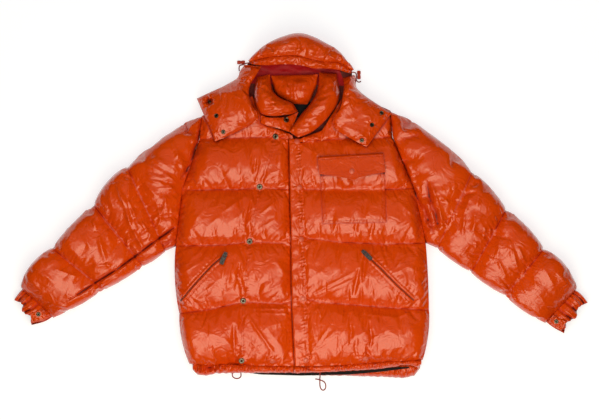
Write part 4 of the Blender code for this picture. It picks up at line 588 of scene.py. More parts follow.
def metal_material(name, dark, light, rough, metallic=1.0):
    """Cloudy worn metal, painted near-black down in a socket as painted shade."""
    metal = Shader(name, metallic=metallic)
    cloud = metal.noise(350.0, 3.0)
    socket = metal.node("Attribute", "Fac", {"attribute_name": "fold"})
    plain = metal.mix(cloud.ramp(0.4, 0.7), dark, light)
    # painted shade: near-black where a point's shade value marks the socket
    metal.set("Base Color", metal.mix(socket.clamp(), plain, (0.012, 0.012, 0.010)))
    metal.set("Roughness", rough + 0.15 * cloud)
    metal.set("Normal", metal.bump(metal.noise(1500.0), 0.00003))
    return metal.material


def enamel_material():
    enamel = plain_material("snap_enamel", 260.0, (0.56, 0.075, 0.035), (0.66, 0.11, 0.055),
                            coat_weight=0.5, coat_roughness=0.08)
    enamel.set("Roughness", 0.3 + 0.1 * enamel.noise(500.0))
    return enamel.material


def cord_material():
    cord = Shader("cord_braid", roughness=0.75)
    turns = cord.noise(700.0, 1.0, (1, 1, 2.5))
    cord.set("Base Color", cord.mix(turns.ramp(0.35, 0.65), (0.14, 0.010, 0.006), (0.36, 0.035, 0.018)))
    cord.set("Normal", cord.bump(turns, 0.0003))
    return cord.material


def plastic_material():
    return plain_material("lock_plastic", 120.0, (0.42, 0.03, 0.008), (0.55, 0.05, 0.014),
                          (800.0, 0.00005), roughness=0.35).material


def thread_material():
    return plain_material("thread", 600.0, (0.40, 0.022, 0.002), (0.55, 0.045, 0.005),
                          roughness=0.9, specular_ior_level=0.1).material


def tape_material():
    return plain_material("zip_tape", 500.0, (0.22, 0.011, 0.002), (0.32, 0.02, 0.004),
                          (1200.0, 0.0001), roughness=0.7).material


def floor_material():
    floor = plain_material("white_ground", 3.0, (0.44, 0.45, 0.46), (0.47, 0.48, 0.49), roughness=0.8)
    floor.set("Emission Color", (1, 1, 1, 1))
    floor.set("Emission Strength", 0.66)
    return floor.material


# ---------------------------------------------------------------- numbers
def waves(x, y, length, seed, count=10):
    """Smooth random heights, mostly within -1 and 1, whose bumps are about a length apart."""
    random = np.random.default_rng(seed)
    total = np.zeros_like(x)
    for _ in range(count):
        turn, phase = random.uniform(0, 2 * math.pi, 2)
        rate = 2 * math.pi / length * random.uniform(0.7, 1.5)
        total += np.sin(rate * (x * math.cos(turn) + y * math.sin(turn)) + phase)
    return total / math.sqrt(count)


def ripple(plan, length, seed):
    """Smooth random heights over plan positions."""
    return waves(plan[..., 0], plan[..., 1], length, seed)


def blur(grid, rounds, closed=False):
    """A grid smoothed along both ways."""
    flat = grid.ndim == 2
    grid = grid[..., None] if flat else grid
    for _ in range(rounds):
        rows = np.pad(grid, [(1, 1), (0, 0), (0, 0)], mode="edge")
        grid = (rows[:-2] + 2 * rows[1:-1] + rows[2:]) / 4
        columns = np.pad(grid, [(0, 0), (1, 1), (0, 0)], mode="wrap" if closed else "edge")
        grid = (columns[:, :-2] + 2 * columns[:, 1:-1] + columns[:, 2:]) / 4
    return grid[..., 0] if flat else grid


def smooth_through(points, cells):
    """Points at even steps on a smooth curve through the given ones."""
    points = np.array(points, float)
    padded = np.concatenate([points[:1], points, points[-1:]])
    steps = np.linspace(0, len(points) - 1, cells + 1)
    index = np.minimum(steps.astype(int), len(points) - 2)
    t = (steps - index).reshape([-1] + [1] * (points.ndim - 1))
    before, first, second, after = (padded[index + k] for k in range(4))
    return 0.5 * (2 * first + (second - before) * t + (2 * before - 5 * first + 4 * second - after) * t ** 2
                  + (3 * first - before - 3 * second + after) * t ** 3)


def travelled(points):
    """Length from the first point to each one."""
    return np.concatenate([[0], np.cumsum(np.linalg.norm(np.diff(points, axis=0), axis=1))])


def evenly(points, count):
    """Points evenly spaced by length along straight lines."""
    lengths = travelled(points)
    wanted = np.linspace(0, lengths[-1], count)
    return np.stack([np.interp(wanted, lengths, points[:, axis]) for axis in range(points.shape[1])], 1)


def spaced(points, cells):
    """Points evenly spaced by length along a smooth curve."""
    return evenly(smooth_through(points, cells * 8), cells + 1)


def straight(points, step):
    """Points about a step apart along straight lines."""
    points = np.array(points, float)
    return evenly(points, max(2, int(travelled(points)[-1] / step)))


def beside(path, offset):
    """A plan path moved sideways."""
    heading = np.gradient(path, axis=0)
    heading /= np.linalg.norm(heading, axis=1, keepdims=True)
    return path + np.stack([heading[:, 1], -heading[:, 0]], 1) * offset


def level_at(x, path):
    """Where a plan path lies, sideways on, at each x."""
    return np.interp(x, *np.transpose(path))


def finer(grid, closed=False):
    """A grid with a point added between each two, on smooth curves."""
    for axis, wrap in ((0, False), (1, closed)):
        grid = np.moveaxis(grid, axis, 0)
        if wrap:
            around = np.concatenate([grid[-1:], grid, grid[:2]])
        else:
            around = np.concatenate([2 * grid[:1] - grid[1:2], grid, 2 * grid[-1:] - grid[-2:-1]])
        middle = (9 * (around[1:-2] + around[2:-1]) - around[:-3] - around[3:]) / 16
        made = np.empty((len(grid) + len(middle),) + grid.shape[1:])
        made[0::2] = grid
        made[1::2] = middle
        grid = np.moveaxis(made, 0, axis)
    return grid


def lattice(cells):
    """Places 0, 1, 2 and so on, with the space after each cut into its number of cells."""
    spans = [span + (np.arange(count) + 1) / count for span, count in enumerate(cells)]
    return np.concatenate([[0.0], *spans])


def plan_grid(lines, across_cells, along_cells):
    """Plan positions between rows of points, with the column and row number of each."""
    lines = np.array(lines, float)
    across, along = np.meshgrid(lattice(across_cells), lattice(along_cells))
    i = np.minimum(across.astype(int), lines.shape[1] - 2)
    j = np.minimum(along.astype(int), lines.shape[0] - 2)
    u = (across - i)[..., None]
    v = (along - j)[..., None]
    low = lines[j, i] * (1 - u) + lines[j, i + 1] * u
    high = lines[j + 1, i] * (1 - u) + lines[j + 1, i + 1] * u
    return low * (1 - v) + high * v, across, along


def near_line(plan, path):
    """Distance of each plan position from a line of points, signed, and how far along that is."""
    path = np.array(path, float)
    lengths = travelled(path)
    best = np.full(plan.shape[:-1], 9.0)
    side = np.zeros_like(best)
    reach = np.zeros_like(best)
    for first, second, start in zip(path, path[1:], lengths):
        way = second - first
        size = np.linalg.norm(way)
        offset = plan - first
        share = np.clip((offset @ way) / size ** 2, 0, 1)
        gap = offset - share[..., None] * way
        distance = np.linalg.norm(gap, axis=-1)
        closer = distance < best
        best = np.where(closer, distance, best)
        side = np.where(closer, np.sign(way[0] * gap[..., 1] - way[1] * gap[..., 0]), side)
        reach = np.where(closer, start + share * size, reach)
    return best * side, reach


def from_lines(plan, lines):
    """Distance of each plan position from the nearest of several lines."""
    return np.minimum.reduce([np.abs(near_line(plan, line)[0]) for line in lines])


def bell(distance, width):
    """1 at no distance, falling away smoothly over the width."""
    return np.exp(-(distance / width) ** 2)


def pressed_folds(plan):
    """Height that the pressed folds add at each plan position, and the shade painted into the pressed-in
    grooves.
    """
    total = np.zeros(plan.shape[:-1])
    dark = np.zeros_like(total)
    low = plan.reshape(-1, 2).min(axis=0) * 1000 - FOLD_MARGIN
    high = plan.reshape(-1, 2).max(axis=0) * 1000 + FOLD_MARGIN
    for x0, y0, x1, y1, width, height in FOLDS:
        start, end = np.array((x0, y0)), np.array((x1, y1))
        if (np.maximum(start, end) < low).any() or (np.minimum(start, end) > high).any():
            continue
        way = (end - start) / 1000
        offset = plan - start / 1000
        size = np.linalg.norm(way)
        share = (offset @ way) / size ** 2
        distance = np.abs(way[0] * offset[..., 1] - way[1] * offset[..., 0]) / size
        taper = np.sin(math.pi * np.clip(share * 0.94 + 0.03, 0, 1)) ** 0.6 * ((share > 0) & (share < 1))
        shape = np.exp(-(distance * 1000 / (width + FOLD_SPREAD)) ** 1.4) * taper
        total += height / 10000 * shape
        # grooves pressed in (negative height) get painted shade
        dark += shape * (height < 0) * 0.8
    return total * FOLD_GAIN, np.clip(dark, 0, FOLD_SHADE)


def stitched_relief(plan):
    """The dip and small puckers along topstitched lines, and the lips of the pocket openings."""
    total = np.zeros(plan.shape[:-1])
    for path, gap in STITCHED:
        side, reach = near_line(plan, path)
        middle = side + gap / 2
        total -= 0.0006 * bell(middle, 0.0034)
        swing = waves(reach + side / 3, side / 2, 0.011, 21) * (0.8 + 0.6 * np.sin(reach * 47))
        total += 0.0007 * swing * bell(middle, 0.0085)
    for path in ZIP_LINES.values():
        side, reach = near_line(plan, path)
        side = np.abs(side)
        ends = np.clip(np.minimum(reach, travelled(np.array(path))[-1] - reach) / 0.012, 0, 1)
        for height, away, width in ZIP_LIPS:
            total += height * bell(side - away, width) * ends
        swing = np.sin(2 * math.pi * reach / 0.0095 + 2 * np.sin(reach * 70))
        total += 0.0006 * swing * bell(side - 0.0130, 0.006)
    return total


# ---------------------------------------------------------------- reading the CAD
def corners_of(node):
    """The corners of a CAD node."""
    return np.array([vertex.co[:] for vertex in NODES[node].data.vertices])


TREES = {}


def tree_of(node):
    """A search tree of a CAD node's faces, made once."""
    if node not in TREES:
        mesh = NODES[node].data
        mesh.calc_loop_triangles()
        TREES[node] = BVHTree.FromPolygons([tuple(v.co) for v in mesh.vertices],
                                           [tuple(t.vertices) for t in mesh.loop_triangles])
    return TREES[node]


def heights(node, plan, above=True):
    """The height of a node's upper or lower face over each plan position."""
    tree = tree_of(node)
    start, way = (1.0, -1.0) if above else (-1.0, 1.0)
    centre = plan.reshape(-1, 2).mean(axis=0)
    found = np.empty(plan.shape[:2])
    for place in np.ndindex(found.shape):
        for inward in (0.0, 0.002, 0.01, 0.03):
            x, y = plan[place] * (1 - inward) + centre * inward
            hit = tree.ray_cast(Vector((x, y, start)), Vector((0, 0, way)))[0]
            if hit is not None:
                break
        found[place] = hit.z if hit is not None else tree.find_nearest(Vector((x, y, 0.05)))[0].z
    return found


def seat_of(node):
    """Where a snap sits: its base's middle, the way it faces, and its radius."""
    points = np.unique(corners_of(node).round(7), axis=0)
    centre = points.mean(axis=0)
    _, _, axes = np.linalg.svd(points - centre, full_matrices=False)
    normal = axes[2] * math.copysign(1, axes[2][2])
    along = (points - centre) @ normal
    base = centre + normal * along.min()
    radius = np.linalg.norm((points - base) - np.outer((points - base) @ normal, normal), axis=1).max()
    return base, normal, float(radius)


SEATS = {node: seat_of(node) for node in NODES if node.startswith("snap_")}


def seat_snaps(grid):
    """Brings the cloth to the base of each snap that sits on it, and dimples it round the snap."""
    for base, normal, radius in SEATS.values():
        gap = grid[..., :2] - base[:2]
        distance = np.linalg.norm(gap, axis=-1)
        if distance.min() >= radius * 2.0:
            continue
        plane = base[2] - (gap @ normal[:2]) / normal[2]
        if np.abs((grid[..., 2] - plane)[distance < distance.min() + 0.004]).min() > SNAP_REACH:
            continue
        turn = np.arctan2(gap[..., 1], gap[..., 0])
        reach = radius * (2.1 + 0.5 * np.sin(5 * turn + base[0] * 700)
                          + 0.3 * np.sin(9 * turn + base[1] * 500))
        share = np.clip((reach - distance) / (reach - radius * 1.02), 0, 1)
        share = np.where(distance < radius * 1.02, 1.0, share * share * (3 - 2 * share))
        grid[..., 2] += (plane + 0.0002 - grid[..., 2]) * share
        ring = bell(distance - 2.3 * radius, 1.2 * radius) * (1 - share)
        grid[..., 2] += 0.0005 * np.sin(9 * turn + base[1] * 900) * ring
    return grid


def keep_below(grid, nodes, gap=0.0006):
    """Presses the cloth down where a hard piece lies on it."""
    for node in nodes:
        corners = corners_of(node)
        low, high = corners.min(axis=0) - 0.003, corners.max(axis=0) + 0.003
        inside = ((grid[..., :2] > low[:2]) & (grid[..., :2] < high[:2])).all(axis=-1)
        over = np.zeros(grid.shape[:2])
        for place in zip(*np.nonzero(inside)):
            x, y, z = grid[place]
            hit = tree_of(node).ray_cast(Vector((x, y, -1.0)), Vector((0, 0, 1)))[0]
            if hit is not None:
                over[place] = max(0.0, z - hit.z + gap)
        grid[..., 2] -= np.maximum(over, blur(over, 3) * 1.6)
    return grid


# ---------------------------------------------------------------- meshes
def quads(rows, columns, closed=False):
    """Face corners over a grid of points, in order."""
    index = np.arange(rows * columns).reshape(rows, columns)
    if closed:
        index = np.concatenate([index, index[:, :1]], axis=1)
    return np.stack([index[:-1, :-1], index[:-1, 1:], index[1:, 1:], index[1:, :-1]], -1).reshape(-1, 4)


def rim(rows, columns):
    """The points round the edge of a grid, in order."""
    index = np.arange(rows * columns).reshape(rows, columns)
    return np.concatenate([index[0], index[1:, -1], index[-1, -2::-1], index[-2:0:-1, 0]])


def add_object(name, data):
    """A new object in the scene, at the origin."""
    made = bpy.data.objects.new(name, data)
    bpy.context.scene.collection.objects.link(made)
    return made


def make_mesh(name, points, faces, material, fold=None, angle=60):
    """A smooth mesh object, faces outwards, with each point's painted shade stored on it, if given."""
    mesh = bpy.data.meshes.new(name)
    mesh.from_pydata(np.asarray(points).tolist(), [], faces)
    shape = bmesh.new()
    shape.from_mesh(mesh)
    bmesh.ops.recalc_face_normals(shape, faces=shape.faces)
    shape.to_mesh(mesh)
    shape.free()
    mesh.shade_smooth()
    mesh.set_sharp_from_angle(angle=math.radians(angle))
    if fold is not None:
        values = np.zeros(len(points))
        values[:len(fold)] = fold
        mesh.attributes.new("fold", "FLOAT", "POINT").data.foreach_set("value", values)
    mesh.materials.append(material)
    return add_object(name, mesh)


def painted_crease_shade(grid, shade, closed=False):
    """Painted shade of each point, from 0 to 1: more the deeper it lies in a crease, plus the painted shadow
    of what lies over it.
    """
    wide = blur(grid[..., 2], 12, closed)
    hollow_shade = np.clip((wide - grid[..., 2] - 0.0008) / 0.0055, 0, 1).reshape(-1)
    return np.clip(hollow_shade + np.ravel(shade), 0, 1)


def over_floor(name, top, floor, material, shade=0.0):
    """A closed panel: a shaped upper face over a plain flat one."""
    rows, columns = top.shape[:2]
    edge = rim(rows, columns)
    under = top.reshape(-1, 3)[edge].copy()
    under[:, 2] = floor
    base = rows * columns + np.arange(len(edge))
    walls = np.stack([edge, np.roll(edge, -1), np.roll(base, -1), base], -1)
    faces = quads(rows, columns).tolist() + walls.tolist() + [base.tolist()]
    points = np.concatenate([top.reshape(-1, 3), under])
    return make_mesh(name, points, faces, material, painted_crease_shade(top, shade))


def between_faces(name, top, bottom, material, shade=0.0):
    """A closed panel between two grids of the same size."""
    rows, columns = top.shape[:2]
    count = rows * columns
    upper = quads(rows, columns)
    edge = rim(rows, columns)
    after = np.roll(edge, -1)
    walls = np.stack([edge, after, after + count, edge + count], -1)
    faces = np.concatenate([upper, upper[:, ::-1] + count, walls]).tolist()
    points = np.concatenate([top.reshape(-1, 3), bottom.reshape(-1, 3)])
    return make_mesh(name, points, faces, material, painted_crease_shade(top, shade))


def closed_tube(name, rings, material, shade=0.0):
    """A closed tube through rings of points, with a flat cap at each end."""
    rows, columns = rings.shape[:2]
    faces = quads(rows, columns, True).tolist()
    faces.append(list(range(columns)))
    faces.append(list(range((rows - 1) * columns, rows * columns)))
    return make_mesh(name, rings.reshape(-1, 3), faces, material, painted_crease_shade(rings, shade, True))


def dress(piece, slot, nodes):
    """Rides the jacket and stands for its CAD nodes."""
    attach(piece, BODY)
    if nodes:
        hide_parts(*nodes)
    return piece


# ---------------------------------------------------------------- padded panels
class Panel:
    """A grid of points that is puffed out between its pinned seams."""

    def __init__(self, name, grid, pinned, lines=(), pucker=0.0, closed=False, under=None):
        self.name = name
        self.grid = grid
        self.target = grid[..., 2].copy()
        self.pinned = pinned
        self.lines = lines            # rows that are quilting seams
        self.pucker = pucker          # height of the gathers beside them
        self.closed = closed          # a sleeve's rows run all the way round
        self.under = under            # a pad's lower face
        self.shade = 0.0


def soften(values, rounds):
    """Rows of numbers smoothed along each row, ends kept."""
    for _ in range(rounds):
        middle = (values[:, :-2] + 2 * values[:, 1:-1] + values[:, 2:]) / 4
        values = np.concatenate([values[:, :1], middle, values[:, -1:]], axis=1)
    return values


def bridge(values, across, start, end, dip):
    """Levels the columns between two places, less a dip halfway."""
    inside = (across > start) & (across < end)
    share = (across[inside] - start) / (end - start)
    for row in values:
        low, high = np.interp(start, across, row), np.interp(end, across, row)
        row[inside] = low + (high - low) * share - dip * np.sin(math.pi * share) ** 2
    return values


def front_panel(name, lines, across_cells, seed):
    """A front from its quilting lines, its heights read from its CAD solid."""
    right = name == "front_right"
    plan, across, along = plan_grid(lines, across_cells, ROW_CELLS)
    starts = np.concatenate([[0], np.cumsum(ROW_CELLS)])
    columns = across[0]
    spans = np.minimum(along.astype(int), len(ROW_CELLS) - 1)
    share = along - spans
    crest = np.sin(math.pi * np.clip(share, 0, 1)) ** PUFF_POWER
    crest[starts] = 0.0
    side = np.clip(1 - np.abs(columns - (0 if right else len(across_cells))) / 0.6, 0, 1)
    plan[..., 0] += np.where(along < 1, *SIDE_SWELL[name]) * crest * side * (along < 2)
    line_z = soften(heights(name, plan[starts]), 4)
    puff_z = soften(heights(name, plan[(starts[:-1] + starts[1:]) // 2]), 4)
    if right:
        line_z = bridge(line_z, columns, *SNAP_SEAM, 0.0003)
        puff_z = bridge(puff_z, columns, *SNAP_SEAM, 0.0012)
    else:
        by_flap = (columns >= 0.999) & (columns < FLAP_SIDE)
        for values, drop in ((line_z, 0.0005), (puff_z, 0.0018)):
            for row in values:
                fall = drop * (FLAP_SIDE - columns[by_flap]) / FLAP_SPAN
                row[by_flap] = np.interp(FLAP_SIDE, columns, row) - fall
    column = np.arange(len(columns))
    below, above = line_z[spans, column], line_z[spans + 1, column]
    base = below * (1 - share) + above * share
    z = base + (puff_z[spans, column] - (below + above) / 2) * crest
    pinned = np.zeros(z.shape, bool)
    pinned[starts] = True
    pinned[:, [0, -1]] = True
    pinned[:, columns > 2.99 if right else columns < 0.99] = True
    if not right:
        pinned[:, np.argmin(np.abs(columns - 1))] = True
    x, y = plan[..., 0], plan[..., 1]
    rough = 0.0010 * waves(x, y, 0.060, seed) + 0.0003 * waves(x * 0.8 + y * 0.6, y * 2 - x, 0.045, seed + 1)
    z = z + np.where(pinned, 0.0, rough)
    return Panel(name, np.dstack([plan, z]), pinned, starts[1:-1], FRONT_GATHER)


def pad_outline(name):
    """A line right round a pad."""
    sections = PADS[name]
    return [s[0] for s in sections] + [s[1] for s in reversed(sections)] + [sections[0][0]]


def pad_panel(name, seed):
    """A pad over its own CAD solid, pinned round its edge; a roll gets its whole shape here."""
    rows, columns = PAD_CELLS[name]
    sections = smooth_through(PADS[name], rows)

    def across_at(share):
        return sections[:, :1] * (1 - share) + sections[:, 1:] * share

    share = np.linspace(0, 1, columns + 1)[None, :, None]
    plan = across_at(share)
    z = heights(name, across_at(share + 0.15 * (1 - share) ** 3 * name.startswith("hood_side")))
    low = heights(name, plan, above=False)
    pinned = np.zeros(z.shape, bool)
    pinned[[0, -1]] = True
    pinned[:, [0, -1]] = True
    if name in ROLLS:
        pinned[:] = True
        across = np.linspace(-1, 1, columns + 1)[None]
        edge = soften(low.T, 12).T + 0.007
        crest = soften(z.max(axis=1)[None], 14)[0][:, None]
        z = edge + (crest - edge) * (1 - np.abs(across) ** 2.5) ** 0.6
        along = travelled(plan[:, columns // 2])
        ends = np.clip(np.minimum(along, along[-1] - along) / 0.012, 0, 1)[:, None]
        z = edge + (z - edge) * (0.72 + 0.28 * np.sqrt(ends))
        swing = waves(along[:, None] + 0.012 * across ** 2, across * 0.02, 0.017, seed + 3)
        z += 0.0010 * swing * (1 - across ** 4)
        z += 0.0009 * ripple(plan, 0.034, seed)
        if name == "collar_back":
            z += 0.10 * (plan[..., 1] - plan[..., 1].mean())
    else:
        share = share[..., 0]
        if name == "hood_crown":
            z = z + 0.012 * np.sin(math.pi * share ** 0.75) - 0.012 * share ** 1.5
            z = z + 0.009 * bell(share - 0.12, 0.12)
        if name == "hood_brim":
            z = np.maximum(z - 0.0115, low + 0.0015)
        if name.startswith("hood_side"):
            z = z + 0.003 * bell(from_lines(plan, [pad_outline(name)]) - 0.013, 0.009)
        z = np.where(pinned, z, blur(z, 3))
        rough = 0.0007 * ripple(plan, 0.040, seed) + 0.0002 * ripple(plan, 0.014, seed + 1)
        z = z + np.where(pinned, 0.0, rough)
    return Panel(name, np.dstack([plan, z]), pinned, under=np.dstack([plan, low]))


def armhole_bend(armhole, share):
    """How far an armhole's curve lies from the straight line between its ends."""
    points = np.array(armhole)
    y = points[0, 1] + (points[-1, 1] - points[0, 1]) * share
    chord = points[0] + (points[-1] - points[0]) * share[:, None]
    curved = np.stack([np.interp(y, points[:, 1], points[:, 0]), y], 1)
    return curved - chord


def sleeve_panel(name, folds, armhole, seed):
    """A sleeve as rings of one profile, swept from seam to puff to seam."""
    low, high = armhole[0][1], armhole[-1][1]
    waist, chest = ((point[1] - low) / (high - low) for point in armhole[1:3])
    over = np.array([(0.0, 0.40), (0.020, 0.60), (0.07, 0.71), (0.18, 0.79), (waist, 0.89), (0.62, 0.96),
                     (chest, 1.0), (0.94, 0.92), (0.982, 0.82), (1.0, 0.42)])
    under = np.array([(1.0, 0.42), (0.985, 0.14), (0.94, 0.0), (0.5, 0.0), (0.06, 0.0), (0.015, 0.14),
                      (0.0, 0.42)])
    top = spaced(over * (1.0, 0.25), 64) / (1.0, 0.25)
    low_side = spaced(under * (1.0, 0.25), 44)[1:-1] / (1.0, 0.25)
    profile = np.clip(np.concatenate([top, low_side]), 0, 1.02)
    profile[:, 0] = np.clip(profile[:, 0], 0, 1)
    across = profile[:, :1]
    rings, seams = [], []
    aside = math.copysign(0.0003, armhole[0][0])
    for number, cells in enumerate(SLEEVE_CELLS):
        seam, puff, after = folds[2 * number:2 * number + 3]
        for step in range(cells + (number == 3)):
            share = step / cells
            weights = ((1 - share) * (1 - 2 * share), 4 * share * (1 - share), share * (2 * share - 1))
            lower = sum(w * np.array(s[0]) for w, s in zip(weights, (seam, puff, after)))
            upper = sum(w * np.array(s[1]) for w, s in zip(weights, (seam, puff, after)))
            crest = math.sin(math.pi * share) ** PUFF_POWER if 0 < share < 1 else 0.0
            upper = upper - 0.0035 * crest * (upper - lower) / np.linalg.norm(upper - lower)
            lift = puff[2] - (seam[2] + after[2]) / 2
            rise = seam[2] + (after[2] - seam[2]) * share + lift * crest * 0.95
            rise += SEAM_LIFT[number] * lift * (1 - share) ** 3 + SEAM_LIFT[number + 1] * lift * share ** 3
            plan = lower * (1 - across) + upper * across + (aside, 0)
            if number == 0:
                plan = plan + armhole_bend(armhole, profile[:, 0]) * (1 - share)
            rings.append(np.column_stack([plan, rise * profile[:, 1]]))
            seams.append(np.full(len(profile), share in (0.0, 1.0)))
    grid = np.array(rings)
    pinned = np.array(seams) | (grid[..., 2] < 0.0015)
    rough = 0.0012 * ripple(grid, 0.065, seed) + 0.0004 * ripple(grid, 0.028, seed + 1)
    grid[..., 2] += np.where(pinned, 0.0, rough * np.clip(grid[..., 2] / 0.03, 0, 1))
    return Panel(name, grid, pinned, np.cumsum(SLEEVE_CELLS[:3]), SLEEVE_GATHER, closed=True)


def outward(panel):
    """A panel's faces, wound so that their normals point out of its filling."""
    points = panel.grid.reshape(-1, 3)
    faces = quads(*panel.grid.shape[:2], panel.closed)
    corners = points[faces]
    normals = np.cross(corners[:, 2] - corners[:, 0], corners[:, 3] - corners[:, 1])
    centres = corners.mean(axis=1) - points.mean(axis=0)
    volume = (centres * normals).sum() if panel.closed else normals[:, 2].sum()
    return faces if volume > 0 else faces[:, ::-1]


def inflate(panels):
    """Cloth simulation of all the panels at once: filled from inside, cut larger than the space they span."""
    points = np.concatenate([panel.grid.reshape(-1, 3) for panel in panels])
    faces, start, pins = [], 0, []
    for panel in panels:
        faces.append(outward(panel) + start)
        pins.append(np.nonzero(panel.pinned.reshape(-1))[0] + start)
        start += panel.pinned.size
    mesh = bpy.data.meshes.new("cloth")
    mesh.from_pydata((points * SIM_SCALE).tolist(), [], np.concatenate(faces).tolist())
    cloth = add_object("cloth", mesh)
    held = cloth.vertex_groups.new(name="held")
    held.add(np.concatenate(pins).tolist(), 1.0, "REPLACE")
    modifier = cloth.modifiers.new("cloth", "CLOTH")
    for key, value in CLOTH.items():
        setattr(modifier.settings, key, value)
    modifier.settings.effector_weights.gravity = 0.0
    modifier.collision_settings.use_collision = False
    modifier.point_cache.frame_start = 1
    modifier.point_cache.frame_end = SIM_FRAMES
    scene = bpy.context.scene
    for number in range(1, SIM_FRAMES + 1):
        scene.frame_set(number)
    result = cloth.evaluated_get(bpy.context.evaluated_depsgraph_get()).to_mesh()
    moved = np.empty(len(points) * 3)
    result.vertices.foreach_get("co", moved)
    moved = moved.reshape(-1, 3) / SIM_SCALE
    scene.frame_set(1)
    bpy.data.objects.remove(cloth)
    bpy.data.meshes.remove(mesh)
    step = moved - points
    length = np.linalg.norm(step, axis=1, keepdims=True)
    moved = points + step * np.minimum(1, MOTION_CAP / np.maximum(length, 1e-9))
    start = 0
    for panel in panels:
        count = panel.pinned.size
        panel.grid = moved[start:start + count].reshape(panel.grid.shape)
        start += count


def settle(panel):
    """The finished outer face: wrinkles from the simulation on the cut form, gathers, folds and seams."""
    front = panel.name.startswith("front")
    grid = panel.grid.copy()
    lift = blur(np.where(panel.pinned, 0.0, grid[..., 2] - panel.target), 30, panel.closed)
    grid[..., 2] -= np.where(panel.pinned, 0.0, lift)
    grid = finer(grid, panel.closed)
    plan = grid[..., :2]
    rise = np.clip(grid[..., 2] / 0.03, 0, 1) if panel.closed else np.ones(grid.shape[:2])
    steps = np.linalg.norm(np.diff(plan, axis=0), axis=-1)
    down = np.concatenate([np.zeros((1, grid.shape[1])), np.cumsum(steps, axis=0)])
    seams = np.zeros(grid.shape[:2])
    for line in panel.lines:
        row = 2 * int(line)
        away = np.abs(down - down[row])
        sideways = travelled(plan[row])
        bent = sideways + 0.3 * away * np.sign(down - down[row])
        swing = waves(bent, bent * 0, 0.014, row) + 0.6 * waves(bent, bent * 0, 0.008, row + 1)
        swing *= np.clip(0.7 + 0.8 * waves(sideways, sideways * 0, 0.07, row + 2), 0.1, 1.6)
        reach = np.exp(-(away / GATHER_REACH) ** 1.5) * np.clip((away - 0.0015) / 0.005, 0, 1)
        grid[..., 2] += panel.pucker * rise * swing * reach
        depth, width = QUILTING_GROOVE
        groove = rise * bell(away, width)
        grid[..., 2] -= depth * groove
        seams = np.maximum(seams, groove)
    if not panel.closed:
        from_ends = [np.minimum(np.arange(count), np.arange(count)[::-1]) for count in grid.shape[:2]]
        rise = np.clip(np.minimum(from_ends[0][:, None], from_ends[1]) / (10 if front else 4), 0, 1)
    relief, dark = pressed_folds(plan)
    grid[..., 2] += rise * relief * (1.8 if panel.closed else 1.0)
    # painted shade in the pressed-in grooves and along the quilting grooves
    panel.shade = dark * (rise > 0.5) + (0.45 if panel.closed else 0.5) * seams
    if front:
        grid[..., 2] += rise * stitched_relief(plan)
    if panel.name == "sleeve_right":
        off = near_line(plan, UNDERARM_SEAM)[0]
        seam = bell(off, 0.0022) * (grid[..., 2] > 0.02)
        ridge = bell(off - 0.006, 0.004) * (grid[..., 2] > 0.02)
        grid[..., 2] += 0.0010 * ridge - 0.0022 * seam
        # and painted shade along the underarm seam's groove
        panel.shade = panel.shade + 0.5 * seam
    if panel.closed:
        grid[..., 2] = np.maximum(grid[..., 2], 0.0)
    grid = seat_snaps(grid)
    if front:
        side = panel.name.removeprefix("front_")
        grid = keep_below(grid, ["zip_slider_" + side, "zip_pull_" + side])
    return grid


def inside_patch(plan, corners):
    """How far each position lies inside a four-sided patch, negative outside it."""
    low_left, low_right, high_left, high_right = np.array(corners)
    gaps = []
    for first, second in ((low_left, low_right), (low_right, high_right), (high_right, high_left),
                          (high_left, low_left)):
        way = (second - first) / np.linalg.norm(second - first)
        offset = plan - first
        gaps.append(way[0] * offset[..., 1] - way[1] * offset[..., 0])
    return np.minimum.reduce(gaps)


def flap_level(plan):
    """The plane of the pocket's flap, through its snap."""
    base = SEATS["snap_cap_8"][0]
    return base[2] + 0.0004 - POCKET_FLAP_SLOPE * (plan[..., 1] - base[1])


